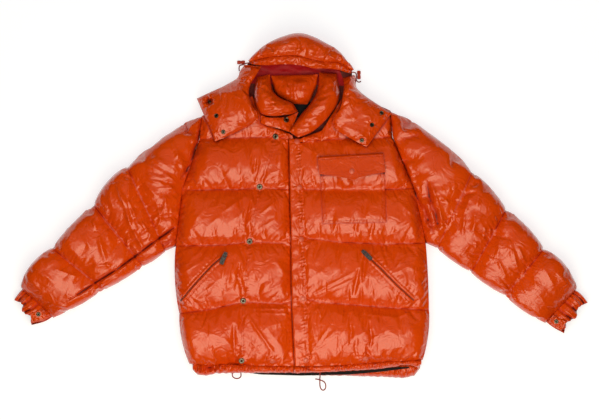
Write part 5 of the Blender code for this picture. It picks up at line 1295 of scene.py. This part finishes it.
def build_panels(shell):
    """Makes, puffs out and finishes every padded panel."""
    right = front_panel("front_right", RIGHT_LINES, RIGHT_CELLS, 11)
    left = front_panel("front_left", LEFT_LINES, LEFT_CELLS, 31)
    sleeves = [sleeve_panel("sleeve_right", SLEEVE_RIGHT, ARMHOLE_RIGHT, 51),
               sleeve_panel("sleeve_left", SLEEVE_LEFT, ARMHOLE_LEFT, 71)]
    pads = [pad_panel(name, 100 + 7 * number) for number, name in enumerate(PADS)]
    inflate([right, left, *sleeves, *(pad for pad in pads if pad.name not in ROLLS)])
    finished = {}
    for panel in (right, left):
        grid = settle(panel)
        plan = grid[..., :2]
        if panel is right:
            # painted shadow along the storm flap's free edge; the same band also sinks the cloth there
            painted_edge_shadow = bell(near_line(plan, [line[0] for line in FLAP_LINES])[0], 0.0024)
            grid[..., 2] -= 0.0035 * painted_edge_shadow
            over = [pad_outline("hood_side_right"), pad_outline("collar_tab"), pad_outline("collar_right")]
        else:
            under = np.clip(inside_patch(plan, POCKET_FLAP) / 0.010 + 1, 0, 1)
            grid[..., 2] += np.minimum(0.0, flap_level(plan) - FRONT_UNDER_FLAP - grid[..., 2]) * under
            edges = np.minimum(np.abs(inside_patch(plan, POCKET)), np.abs(inside_patch(plan, POCKET_FLAP)))
            # painted shadow round the edges of the chest pocket and its flap
            painted_edge_shadow = 0.8 * bell(edges, 0.0018)
            over = [pad_outline("hood_side_left"), pad_outline("collar_left")]
        # painted shadow along the edges of the pads that lie over the front
        painted_edge_shadow = np.maximum(painted_edge_shadow, bell(from_lines(plan, over), 0.0032))
        finished[panel.name] = grid
        shade = np.maximum(painted_edge_shadow, panel.shade)
        puffs = over_floor("puffs_" + panel.name, grid, FRONT_FLOOR, shell, shade)
        dress(puffs, "shell", [panel.name])
    for panel in sleeves:
        grid = settle(panel)
        dress(closed_tube("puffs_" + panel.name, grid, shell, panel.shade), "shell", [panel.name])
    for panel in pads:
        top, under = settle(panel), finer(panel.under)
        if panel.name.startswith("hood_side"):
            rim_gap = from_lines(top[..., :2], [pad_outline(panel.name)])
            height, width = HOOD_SIDE_EDGE
            top[..., 2] -= height * np.clip(1 - rim_gap / width, 0, 1) ** 2
        top[..., 2] = np.maximum(top[..., 2], under[..., 2] + 0.0006)
        dress(between_faces("pad_" + panel.name, top, under, shell), "shell", [panel.name])
    return finished


# ---------------------------------------------------------------- plain and gathered pieces
def build_flap(left, shell):
    """The storm flap over the zip, its sewn edge level with the front beside it."""
    plan, across, along = plan_grid(FLAP_LINES, (32,), FLAP_CELLS)
    seam = left[:, 2 * LEFT_CELLS[0]]
    seam_z = np.interp(plan[:, -1, 1], seam[:, 1], blur(seam[None, :, 2:], 2)[0, :, 0])
    share = along - np.minimum(along.astype(int), 3)
    top = FLAP_TOP - CREST_DIP * (1 - np.sin(math.pi * np.clip(share, 0, 1)) ** 0.7)
    lean = np.clip((across - 0.35) / 0.65, 0, 1)
    z = top * (1 - lean) + (seam_z[:, None] + 0.0004) * lean
    fold_edge = np.clip(1 - across / 0.13, 0, 1)
    z -= 0.0052 * (1 - np.sqrt(1 - fold_edge ** 2))
    inside = np.clip(across * 5, 0, 1) * np.clip((1 - across) * 5, 0.2, 1)
    z += 0.0009 * waves(plan[..., 0] * 1.3, plan[..., 1], 0.040, 91) * inside
    z += pressed_folds(plan)[0] * np.clip(across * 6, 0, 1) + stitched_relief(plan)
    grid = seat_snaps(np.dstack([plan, z]))
    floor = float(corners_of("placket")[:, 2].min())
    return dress(over_floor("storm_flap", grid, floor, shell), "shell", ["placket"])


def side_roll(name, outline, sewn, height, nodes, pinches, shell, edge=ROLLED_EDGE):
    """A padded layer with flat faces and a rolled edge, nipped in at its quilting lines, its top face given
    painted shade.
    """
    path = straight([*outline, outline[0]], 0.004)[:-1]
    heading = np.roll(path, -1, axis=0) - np.roll(path, 1, axis=0)
    heading /= np.linalg.norm(heading, axis=1, keepdims=True)
    inward = np.stack([heading[:, 1], -heading[:, 0]], 1)
    if (inward * (path.mean(axis=0) - path)).sum() < 0:
        inward = -inward
    for _ in range(6):
        inward = (np.roll(inward, 1, axis=0) + 2 * inward + np.roll(inward, -1, axis=0)) / 4
    nip = np.zeros(len(path))
    for level in pinches:
        nip += bell(path[:, 1] - level, 0.009) * (np.abs(path[:, 0]) > 0.2)
    free = np.clip((from_lines(path, sewn) - 0.004) / 0.016, 0, 1)
    wrinkle = ripple(path, 0.024, 17)
    rings, dark = [], []
    for share, inset in edge:
        swell = math.sin(math.pi * share)
        drawn = (inset + (0.0035 * nip + 0.0007 * (wrinkle + 1)) * swell) * free
        rings.append(np.column_stack([path + inward * drawn[:, None], np.full(len(path), height * share)]))
        # painted shade on the top face, which shows only down in gaps
        dark.append(np.full(len(path), np.clip(6 * share - 5, 0, 1)))
    return dress(closed_tube(name, np.array(rings), shell, dark), "shell", nodes)


def hem_band(name, seam, edge, floor, rise, seed, shell):
    """A gathered channel along the hem."""
    cells = int((edge[-1][0] - edge[0][0]) / HEM_STEP)
    x = np.linspace(edge[0][0], edge[-1][0], cells + 1)
    seam_y = level_at(x, seam) - 0.0003
    seam_y += 0.0012 + 0.0007 * waves(x, x * 0, 0.04, seed + 7)
    edge_y = level_at(x, edge)
    rings, hollow_shade = [], []
    for share, height in HEM_SECTION:
        drift = share * 0.012
        gather = waves(x + drift * 0.3, x * 0 + drift, 0.0095, seed)
        gather = gather + 0.7 * waves(x, x * 0 + drift, 0.0048, seed + 1)
        gather = gather * (0.75 + 0.45 * waves(x, x * 0, 0.07, seed + 5))
        swing = 0.0007 * waves(x, x * 0 + drift, 0.02, seed + 2) * share
        lift = HEM_GATHER * gather * math.sin(math.pi * min(1, share * 0.8 + 0.15)) * (height > 0.2)
        y = seam_y + (edge_y - seam_y) * share + swing * (height > 0.3)
        rings.append(np.stack([x, y, np.maximum(floor + rise * height + lift, floor)], 1))
        # painted shade in the valleys of the gathers
        hollow_shade.append(np.clip(-gather - 0.5, 0, 1) * 0.5)
    rings = np.array(rings).transpose(1, 0, 2)
    shade = np.array(hollow_shade).T
    if name == "hem_front_right":
        # the bunch sinks in and its hollow gets painted shade
        near = bell(rings[..., 0] - HEM_BUNCH[0], 0.014) * bell(rings[..., 1] - HEM_BUNCH[1], 0.006)
        rings[..., 2] = np.maximum(rings[..., 2] - 0.010 * near * (rings[..., 2] > floor + 0.004), floor)
        shade = np.maximum(shade, near)
    return dress(closed_tube("band_" + name, rings, shell, shade), "shell", [name])


def cuff_band(name, folds, seed, shell):
    """The elastic cuff, closely gathered, its end running in and out and then back inside."""
    axis = np.array(folds[2][0]) + folds[2][1] - np.array(folds[0][0]) - folds[0][1]
    axis = axis / np.linalg.norm(axis)
    turns = np.linspace(0, 2 * math.pi, CUFF_SIDES, endpoint=False)
    across = 0.5 - 0.5 * np.cos(turns)
    table = smooth_through([[*lower, *upper, rise] for lower, upper, rise in folds], CUFF_ROWS)
    gather = np.sin(12 * turns + 1.4 * np.sin(3 * turns + seed)) + 0.5 * np.sin(27 * turns + 2 * seed)
    rings, shade = [], []
    for number, row in enumerate(table):
        share = number / CUFF_ROWS
        # painted shade in the valleys of the gathers, deeper toward the cuff's end
        shade.append(np.clip(-gather - 0.25, 0, 1) * (0.4 + 0.8 * share))
        plan = row[:2] * (1 - across[:, None]) + row[2:4] * across[:, None]
        lobe = 0.005 * np.cos(4 * math.pi * across) * max(0.0, share * 2 - 1) + 0.0003
        depth = 0.0016 + 0.0024 * share - 0.0012 * bell(share - 0.55, 0.1)
        plan = plan + axis * (lobe + 0.0010 * gather * share)[:, None]
        height = row[4] * (0.5 + 0.56 * np.sin(turns))
        z = np.clip(height, 0, None) + np.where(height > 0.004, depth * gather, 0)
        rings.append(np.column_stack([plan, np.clip(z, 0, None)]))
    inner = []
    for number, small, flat in CUFF_INSIDE:
        ring = rings[number].copy()
        middle = ring.mean(axis=0)
        middle[2] = 0.014
        ring[:, :2] = middle[:2] + (ring[:, :2] - middle[:2]) * small
        ring[:, 2] = middle[2] + (ring[:, 2] - middle[2]) * flat
        if number == CUFF_ROWS:
            ring[:, :2] -= axis * 0.002
        inner.append(ring)
        # painted shade on the rings that turn back inside
        shade.append(np.full(len(turns), 0.9))
    rings = seat_snaps(np.array(rings + inner))
    return dress(closed_tube("gathered_" + name, rings, shell, np.array(shade)), "shell", [name])


def build_bands(shell):
    for name, sizes in HEMS.items():
        hem_band(name, *sizes, shell)
    for name, sizes in CUFFS.items():
        cuff_band(name, *sizes, shell)


def patch_plan(corners, rows, columns):
    """Plan positions over a four-sided patch."""
    low_left, low_right, high_left, high_right = np.array(corners)
    u = np.linspace(0, 1, columns + 1)[None, :, None]
    v = np.linspace(0, 1, rows + 1)[:, None, None]
    return (low_left * (1 - u) + low_right * u) * (1 - v) + (high_left * (1 - u) + high_right * u) * v


def edge_distance(plan, sides):
    """How far each position lies from the nearest of the named sides, straight from corner to corner."""
    ends = {"left": plan[[0, -1], 0], "right": plan[[0, -1], -1], "bottom": plan[0, [0, -1]],
            "top": plan[-1, [0, -1]]}
    return from_lines(plan, [ends[side] for side in sides])


def sewn_edges(grid, sides, depths=EDGE_STITCHES, seed=3):
    """Dips under the rows of stitching inside an edge, with small puckers."""
    inside = edge_distance(grid[..., :2], sides)
    for depth in depths:
        grid[..., 2] -= 0.0008 * bell(inside - depth, 0.0013)
    grid[..., 2] += 0.0004 * ripple(grid, 0.0085, seed) * bell(inside - 0.006, 0.006)
    grid[..., 2] -= 0.0010 * np.clip(1 - inside / 0.0016, 0, 1) ** 2
    return grid


def build_pocket(left, shell):
    """The chest patch and its pointed flap."""
    front = BVHTree.FromPolygons(left.reshape(-1, 3).tolist(), quads(*left.shape[:2]).tolist())
    plan = patch_plan(POCKET, 66, 84)
    ground = np.empty(plan.shape[:2])
    for place in np.ndindex(ground.shape):
        ground[place] = front.ray_cast(Vector((*plan[place], 1.0)), Vector((0, 0, -1)))[0].z
    sewn = ("left", "right", "bottom")
    inside = edge_distance(plan, sewn)
    z = np.maximum(blur(ground, 10), ground) + 0.0016 + 0.0014 * np.clip(inside / 0.012, 0, 1)
    z = blur(z, 2) + 0.0006 * ripple(plan, 0.045, 44)
    z += pressed_folds(plan)[0]
    to_flap = inside_patch(plan, POCKET_FLAP)
    z += np.minimum(0.0, flap_level(plan) - PATCH_UNDER_FLAP - z) * np.clip(to_flap / 0.012 + 1, 0, 1)
    grid = sewn_edges(np.dstack([plan, z]), sewn)
    under = np.dstack([plan, np.minimum(grid[..., 2] - 0.0008, ground - 0.0004)])
    # painted shade along the patch's sewn edge and its stitch rows, and painted shadow under the flap
    shade = 0.5 * bell(inside, 0.0012) + 0.45 * bell(inside - EDGE_STITCHES[0], 0.0010)
    shade += 0.35 * bell(inside - EDGE_STITCHES[1], 0.0010)
    shade += 0.9 * bell(to_flap + 0.0035, 0.0035)
    dress(between_faces("chest_patch", grid, under, shell, shade), "shell", ["pocket_patch"])

    plan = patch_plan(POCKET_FLAP, 30, 88)
    u = np.linspace(0, 1, plan.shape[1])[None, :]
    v = np.linspace(0, 1, plan.shape[0])[:, None]
    plan[..., 1] -= POCKET_FLAP_POINT * (1 - np.abs(2 * u - 1)) ** 1.15 * (1 - v) ** 1.5
    z = flap_level(plan) + 0.0004 * ripple(plan, 0.05, 61) - 0.0025 * np.clip((v - 0.93) / 0.07, 0, 1)
    grid = sewn_edges(np.dstack([plan, z]), ("top",), FLAP_STITCHES, 10)
    below = edge_distance(plan, ("top",))
    # painted shade along the flap's stitch rows
    shade = 0.3 * bell(edge_distance(plan, sewn) - EDGE_STITCHES[0], 0.0010)
    for depth in FLAP_STITCHES:
        shade = shade + 0.3 * bell(below - depth, 0.0010)
    flap = between_faces("chest_flap", grid, grid - (0, 0, POCKET_FLAP_THICKNESS), shell, shade)
    dress(flap, "shell", ["pocket_flap"])


def thin_sheet(name, plan, relief, material, slot, nodes):
    """A thin closed sheet, at the level and thickness given for it."""
    level, thickness = SHEETS[name]
    top = np.dstack([plan, level + relief])
    piece = dress(between_faces(name, top, top - (0, 0, thickness), material), slot, nodes)


def build_linings(lining, inside):
    """The black facing at the hem and neck, and the hood's own inner face."""
    x = np.linspace(HEM_LINING_EDGE[0][0], HEM_LINING_EDGE[-1][0], 160)
    share = np.linspace(0, 1, 9)[:, None]
    y = level_at(x, HEM_LINING_EDGE) * (1 - share) + HEM_LINING_TOP * share
    plan = np.dstack([np.broadcast_to(x, y.shape), y])
    relief = -0.0002 * (1 + ripple(plan, 0.02, 4)) / 2
    thin_sheet("facing_hem", plan, relief, lining, "lining", ["lining_hem"])
    plan = patch_plan(NECK_FACING, 29, 39)
    relief = -0.0002 * (1 + ripple(plan, 0.02, 6)) / 2
    thin_sheet("facing_neck", plan, relief, lining, "lining", ["lining_neck"])
    plan = patch_plan(HOOD_INSIDE, 49, 119)
    bulge = HOOD_BULGE * np.sin(math.pi * np.linspace(0, 1, plan.shape[1])[None])
    plan[..., 1] += bulge * np.linspace(0, 1, plan.shape[0])[:, None]
    x, y = plan[..., 0], plan[..., 1]
    loose = 0.5 + 0.5 * np.clip(waves(x, y * 2, 0.04, 8), -1, 1)
    relief = 0.0010 * np.clip((y - HOOD_LOOSE) / 0.006, 0, 1) * loose
    thin_sheet("hood_inside", plan, relief, inside, "shell", [])


def build_tabs(shell):
    """The strap with a snap on each cuff."""
    for name, corners in CUFF_TABS.items():
        plan = patch_plan((corners[0], corners[2], corners[1], corners[3]), 20, 34)
        grid = np.dstack([plan, blur(heights(name, plan), 4)])
        grid = seat_snaps(sewn_edges(grid, ("left", "right", "bottom", "top"), EDGE_STITCHES[:1], 21))
        under = np.dstack([plan, np.minimum(heights(name, plan, above=False), grid[..., 2] - 0.0008)])
        dress(between_faces("sewn_" + name, grid, under, shell), "shell", [name])


# ---------------------------------------------------------------- hard trim
def lathe(name, profile, material, sides=32, dark=0.0):
    """A turned mesh about its local Z, from (radius, height) pairs that start and end on that axis."""
    inner = [pair for pair in profile if pair[0] > 0]
    turns = np.linspace(0, 2 * math.pi, sides, endpoint=False)
    rings = np.array([np.stack([r * np.cos(turns), r * np.sin(turns), np.full(sides, z)], 1)
                      for r, z in inner])
    points = np.concatenate([rings.reshape(-1, 3), [(0, 0, profile[0][1]), (0, 0, profile[-1][1])]])
    first, last = len(points) - 2, len(points) - 1
    faces = quads(len(inner), sides, True).tolist()
    top = (len(inner) - 1) * sides
    for side in range(sides):
        after = (side + 1) % sides
        faces.append([side, after, first])
        faces.append([top + after, top + side, last])
    # points within the dark radius get painted shade, for a snap's socket
    hollow_shade = np.where(np.hypot(points[:, 0], points[:, 1]) < dark, 1.0, 0.0)
    return make_mesh(name, points, faces, material, hollow_shade, angle=35)


def stand(piece, base, axis):
    """Turns a mesh from its local Z to an axis, and moves it to its place."""
    place = Vector(axis).to_track_quat("Z", "Y").to_matrix().to_4x4()
    place.translation = Vector(base)
    piece.data.transform(place)
    return piece


def build_snaps(metal, nickel, enamel):
    """Every snap: bare rings down the front, enamelled caps and small ones."""
    finishes = {"ring": nickel, "cap": enamel, "small": metal}
    for node, (base, normal, radius) in SEATS.items():
        kind = "ring" if "ring" in node else "cap" if "cap" in node else "small"
        shape = [(r * radius, z * radius) for r, z in SNAP_SHAPES[kind]]
        # rings and small snaps get a socket of painted shade; caps get none
        socket = 0.0 if kind == "cap" else SNAP_SOCKET * radius
        piece = lathe("turned_" + node, shape, finishes[kind], dark=socket)
        dress(stand(piece, base, normal), "snap_cap" if kind == "cap" else "snap_metal", [node])


class Ground:
    """What shows from above: the height of the highest finished piece at a plan position."""

    def __init__(self, names):
        points, faces, start = [], [], 0
        for name in names:
            mesh = bpy.data.objects[name].data
            points += [tuple(vertex.co) for vertex in mesh.vertices]
            faces += [[start + index for index in face.vertices] for face in mesh.polygons
                      if len(face.vertices) < 9]     # leaves out flat undersides and caps
            start += len(mesh.vertices)
        self.tree = BVHTree.FromPolygons(points, faces)

    def height(self, x, y):
        hit = self.tree.ray_cast(Vector((x, y, 1.0)), Vector((0, 0, -1)))[0]
        return hit.z if hit is not None else 0.0

    def follow(self, plan, lift):
        return [(float(x), float(y), self.height(x, y) + lift) for x, y in plan]


def sewn_run_tree():
    """Geometry nodes: small rounded beads at even steps along lines, turned to run with them."""
    tree = bpy.data.node_groups.new("sewn_run", "GeometryNodeTree")
    tree.is_modifier = True
    face = tree.interface
    face.new_socket("Geometry", in_out="INPUT", socket_type="NodeSocketGeometry")
    for label, kind in (("Pitch", "Float"), ("Half size", "Vector"), ("Finish", "Material")):
        face.new_socket(label, in_out="INPUT", socket_type="NodeSocket" + kind)
    face.new_socket("Geometry", in_out="OUTPUT", socket_type="NodeSocketGeometry")

    def node(kind, settings=None, **inputs):
        made = tree.nodes.new(kind)
        for key, value in (settings or {}).items():
            setattr(made, key, value)
        for label, value in inputs.items():
            socket = made.inputs[label.replace("_", " ")]
            if isinstance(value, bpy.types.NodeSocket):
                tree.links.new(value, socket)
            else:
                socket.default_value = value
        return made.outputs

    given = node("NodeGroupInput")
    curve = node("GeometryNodeMeshToCurve", Mesh=given["Geometry"])["Curve"]
    steps = node("GeometryNodeCurveToPoints", {"mode": "LENGTH"}, Curve=curve, Length=given["Pitch"])
    across = tree.nodes.new("ShaderNodeVectorMath")
    across.operation = "CROSS_PRODUCT"
    tree.links.new(steps["Tangent"], across.inputs[0])
    across.inputs[1].default_value = (0, 0, 1)
    turn = node("FunctionNodeAxesToRotation", {"primary_axis": "Z", "secondary_axis": "X"},
                Primary_Axis=steps["Tangent"], Secondary_Axis=across.outputs[0])["Rotation"]
    bead = node("GeometryNodeMeshUVSphere", Segments=6, Rings=4, Radius=1.0)["Mesh"]
    placed = node("GeometryNodeInstanceOnPoints", Points=steps["Points"], Instance=bead, Rotation=turn,
                  Scale=given["Half size"])["Instances"]
    whole = node("GeometryNodeRealizeInstances", Geometry=placed)["Geometry"]
    done = node("GeometryNodeSetMaterial", Geometry=whole, Material=given["Finish"])["Geometry"]
    tree.links.new(done, tree.nodes.new("NodeGroupOutput").inputs["Geometry"])
    return tree


def sewn_run(name, tree, paths, size, finish, slot):
    """One plain mesh of beads along all the paths."""
    points, edges = [], []
    for path in paths:
        start = len(points)
        points += path
        edges += [(start + k, start + k + 1) for k in range(len(path) - 1)]
    guide = bpy.data.meshes.new(name + "_guide")
    guide.from_pydata(points, edges, [])
    holder = add_object(name + "_guide", guide)
    modifier = holder.modifiers.new("sewn_run", "NODES")
    modifier.node_group = tree
    sockets = {item.name: item.identifier for item in tree.interface.items_tree if item.in_out == "INPUT"}
    for label, value in (("Pitch", size[0]), ("Half size", size[1]), ("Finish", finish)):
        modifier[sockets[label]] = value
    mesh = bpy.data.meshes.new_from_object(holder.evaluated_get(bpy.context.evaluated_depsgraph_get()))
    mesh.name = name
    bpy.data.objects.remove(holder)
    mesh.shade_smooth()
    dress(add_object(name, mesh), slot, [])


def build_zips(ground, tape):
    """The tape in each pocket opening; gives the two rows of its teeth."""
    runs = []
    for side, line in ZIP_LINES.items():
        path = spaced(line, 90)
        shares = np.linspace(-1, 1, 9)
        plan = np.stack([beside(path, share * TAPE_HALF_WIDTH) for share in shares], 1)
        z = np.array([[ground.height(*spot) for spot in row] for row in plan])
        z = blur(np.maximum(z, z.mean(axis=1, keepdims=True) - 0.0006), 3) + TAPE_LIFT
        top = np.dstack([plan, z - 0.0003 * (1 - np.abs(shares)) ** 2])
        strip = between_faces("tape_zip_" + side, top, top - (0, 0, TAPE_THICKNESS), tape)
        dress(strip, "cord", ["zip_" + side])
        for offset, first in ((-TOOTH_ROW, 1), (TOOTH_ROW, 2)):
            row = beside(path, offset)[first:-1]
            levels = z[-len(row) - 1:-1, 4]
            runs.append([(float(x), float(y), float(h) + TOOTH_LIFT) for (x, y), h in zip(row, levels)])
    return runs


def build_stitching(tree, ground, thread):
    """Every visible line of topstitching."""
    paths = [beside(spaced(path, 240), offset) for path, gap in STITCHED for offset in (0.0, gap)]
    paths += [beside(spaced(path, 80), offset) for path in ZIP_LINES.values()
              for offset in (-ZIP_STITCHES, ZIP_STITCHES)]
    corners = np.array(POCKET)
    for inset in PATCH_STITCHES:
        drawn_in = corners + (corners.sum(axis=0) / 4 - corners) * inset * (1.0, 1.2)
        low_left, low_right, high_left, high_right = drawn_in
        paths.append(straight([high_left, low_left, low_right, high_right], GUIDE_STEP))
    low_left, low_right, high_left, high_right = np.array(POCKET_FLAP)
    point = (low_left + low_right) / 2 - (0, POCKET_FLAP_POINT)
    paths.append(straight([high_left + (0.003, -0.001), low_left + (0.003, 0.003), point + (0, 0.0035),
                           low_right + (-0.003, 0.003), high_right + (-0.003, -0.001)], GUIDE_STEP))
    for drop in FLAP_STITCHES:
        paths.append(straight([high_left + (0.002, -drop), high_right + (-0.002, -drop)], GUIDE_STEP))
    for edge in (HEM_RIGHT_SEAM, HEM_LEFT_SEAM):
        paths.append(straight(edge, GUIDE_STEP)[2:-2] + (0, -0.0030))
    runs = [ground.follow(path, STITCH_LIFT) for path in paths]
    sewn_run("topstitching", tree, runs, STITCH, thread, "cord")


def build_locks(plastic):
    """The waisted lock on each hood cord, along its CAD solid."""
    for side in ("right", "left"):
        node = "cord_lock_" + side
        points = corners_of(node)
        centre = (points.min(axis=0) + points.max(axis=0)) / 2
        _, _, axes = np.linalg.svd(points - points.mean(axis=0), full_matrices=False)
        reach = (points - centre) @ axes[0]
        length = float(reach.max() - reach.min())
        shape = [(r * LOCK_RADIUS, z * length) for r, z in LOCK_SHAPE]
        piece = stand(lathe("turned_" + node, shape, plastic, 28), centre + axes[0] * reach.min(), axes[0])
        dress(piece, "cord_lock", [node])


def build_cords(material):
    for name, route in CORD_ROUTES.items():
        line = spaced(route, 36)
        curve = bpy.data.curves.new("free_" + name, "CURVE")
        curve.dimensions = "3D"
        curve.bevel_depth = CORD_RADIUS
        curve.bevel_resolution = 4
        curve.use_fill_caps = True
        spline = curve.splines.new("POLY")
        spline.points.add(len(line) - 1)
        for point, place in zip(spline.points, line):
            point.co = (*place, 1.0)
        curve.materials.append(material)
        piece = dress(add_object("free_" + name, curve), "cord", [name])
        end = "bare" if name == "hem_cord_left" else "object"


# ---------------------------------------------------------------- stage
def build_camera():
    lens = bpy.data.cameras.new("camera")
    lens.lens, lens.sensor_width = LENS, SENSOR
    camera = add_object("camera", lens)
    camera.location = (*VIEW_CENTRE, PICTURE_WIDTH * LENS / SENSOR + SHARP_LEVEL)
    bpy.context.scene.camera = camera


def add_light(name, location, aim, size, energy, colour, glossy):
    lamp = bpy.data.lights.new(name, "AREA")
    lamp.shape = "RECTANGLE"
    lamp.size, lamp.size_y = size
    lamp.energy = energy
    lamp.color = colour
    holder = add_object(name, lamp)
    holder.location = location
    holder.rotation_euler = (Vector(aim) - Vector(location)).to_track_quat("-Z", "Y").to_euler()
    holder.visible_camera = False
    holder.visible_glossy = glossy


def build_stage():
    """A white ground, a dim warm room, and three lights."""
    scene = bpy.context.scene
    scene.view_settings.view_transform = "Standard"
    scene.world = bpy.data.worlds.new("room")
    scene.world.use_nodes = True
    background = scene.world.node_tree.nodes["Background"]
    background.inputs["Color"].default_value = ROOM_COLOUR
    background.inputs["Strength"].default_value = ROOM_STRENGTH
    for name, light in LIGHTS.items():
        add_light(name, *light)
    corners = [(-FLOOR, -FLOOR, 0), (FLOOR, -FLOOR, 0), (FLOOR, FLOOR, 0), (-FLOOR, FLOOR, 0)]
    floor = make_mesh("ground", corners, [[0, 1, 2, 3]], floor_material())


def main():
    build_camera()
    build_cords(cord_material())
    shell = shell_material()
    gunmetal, nickel = (metal_material(name, *METALS[name]) for name in ("gunmetal", "nickel"))
    finished = build_panels(shell)
    build_flap(finished["front_left"], shell)
    side_roll("layer_back", BACK_OUTLINE, BACK_SEWN, BACK_TOP, ["back_panel"], BACK_PINCHES, shell)
    side_roll("layer_hood", HOOD_BACK_OUTLINE, HOOD_SEWN, HOOD_TOP, ["hood_back"], (), shell, SEWN_ABOVE)
    build_bands(shell)
    build_pocket(finished["front_left"], shell)
    build_linings(lining_material(), inside_material())
    build_tabs(shell)
    ground = Ground(["puffs_front_right", "puffs_front_left", "storm_flap", "chest_patch", "chest_flap",
                     "band_hem_front_right", "band_hem_front_left"])
    steel = metal_material("pull_steel", *METALS["pull_steel"])
    teeth = build_zips(ground, tape_material())
    tree = sewn_run_tree()
    build_stitching(tree, ground, thread_material())
    sewn_run("zip_teeth", tree, teeth, TEETH, gunmetal, "zip_metal")
    build_snaps(gunmetal, nickel, enamel_material())
    build_locks(plastic_material())
    for node in ("zip_slider_right", "zip_pull_right", "zip_slider_left", "zip_pull_left"):
        NODES[node].data.materials.clear()
        NODES[node].data.materials.append(steel)
    build_stage()


main()
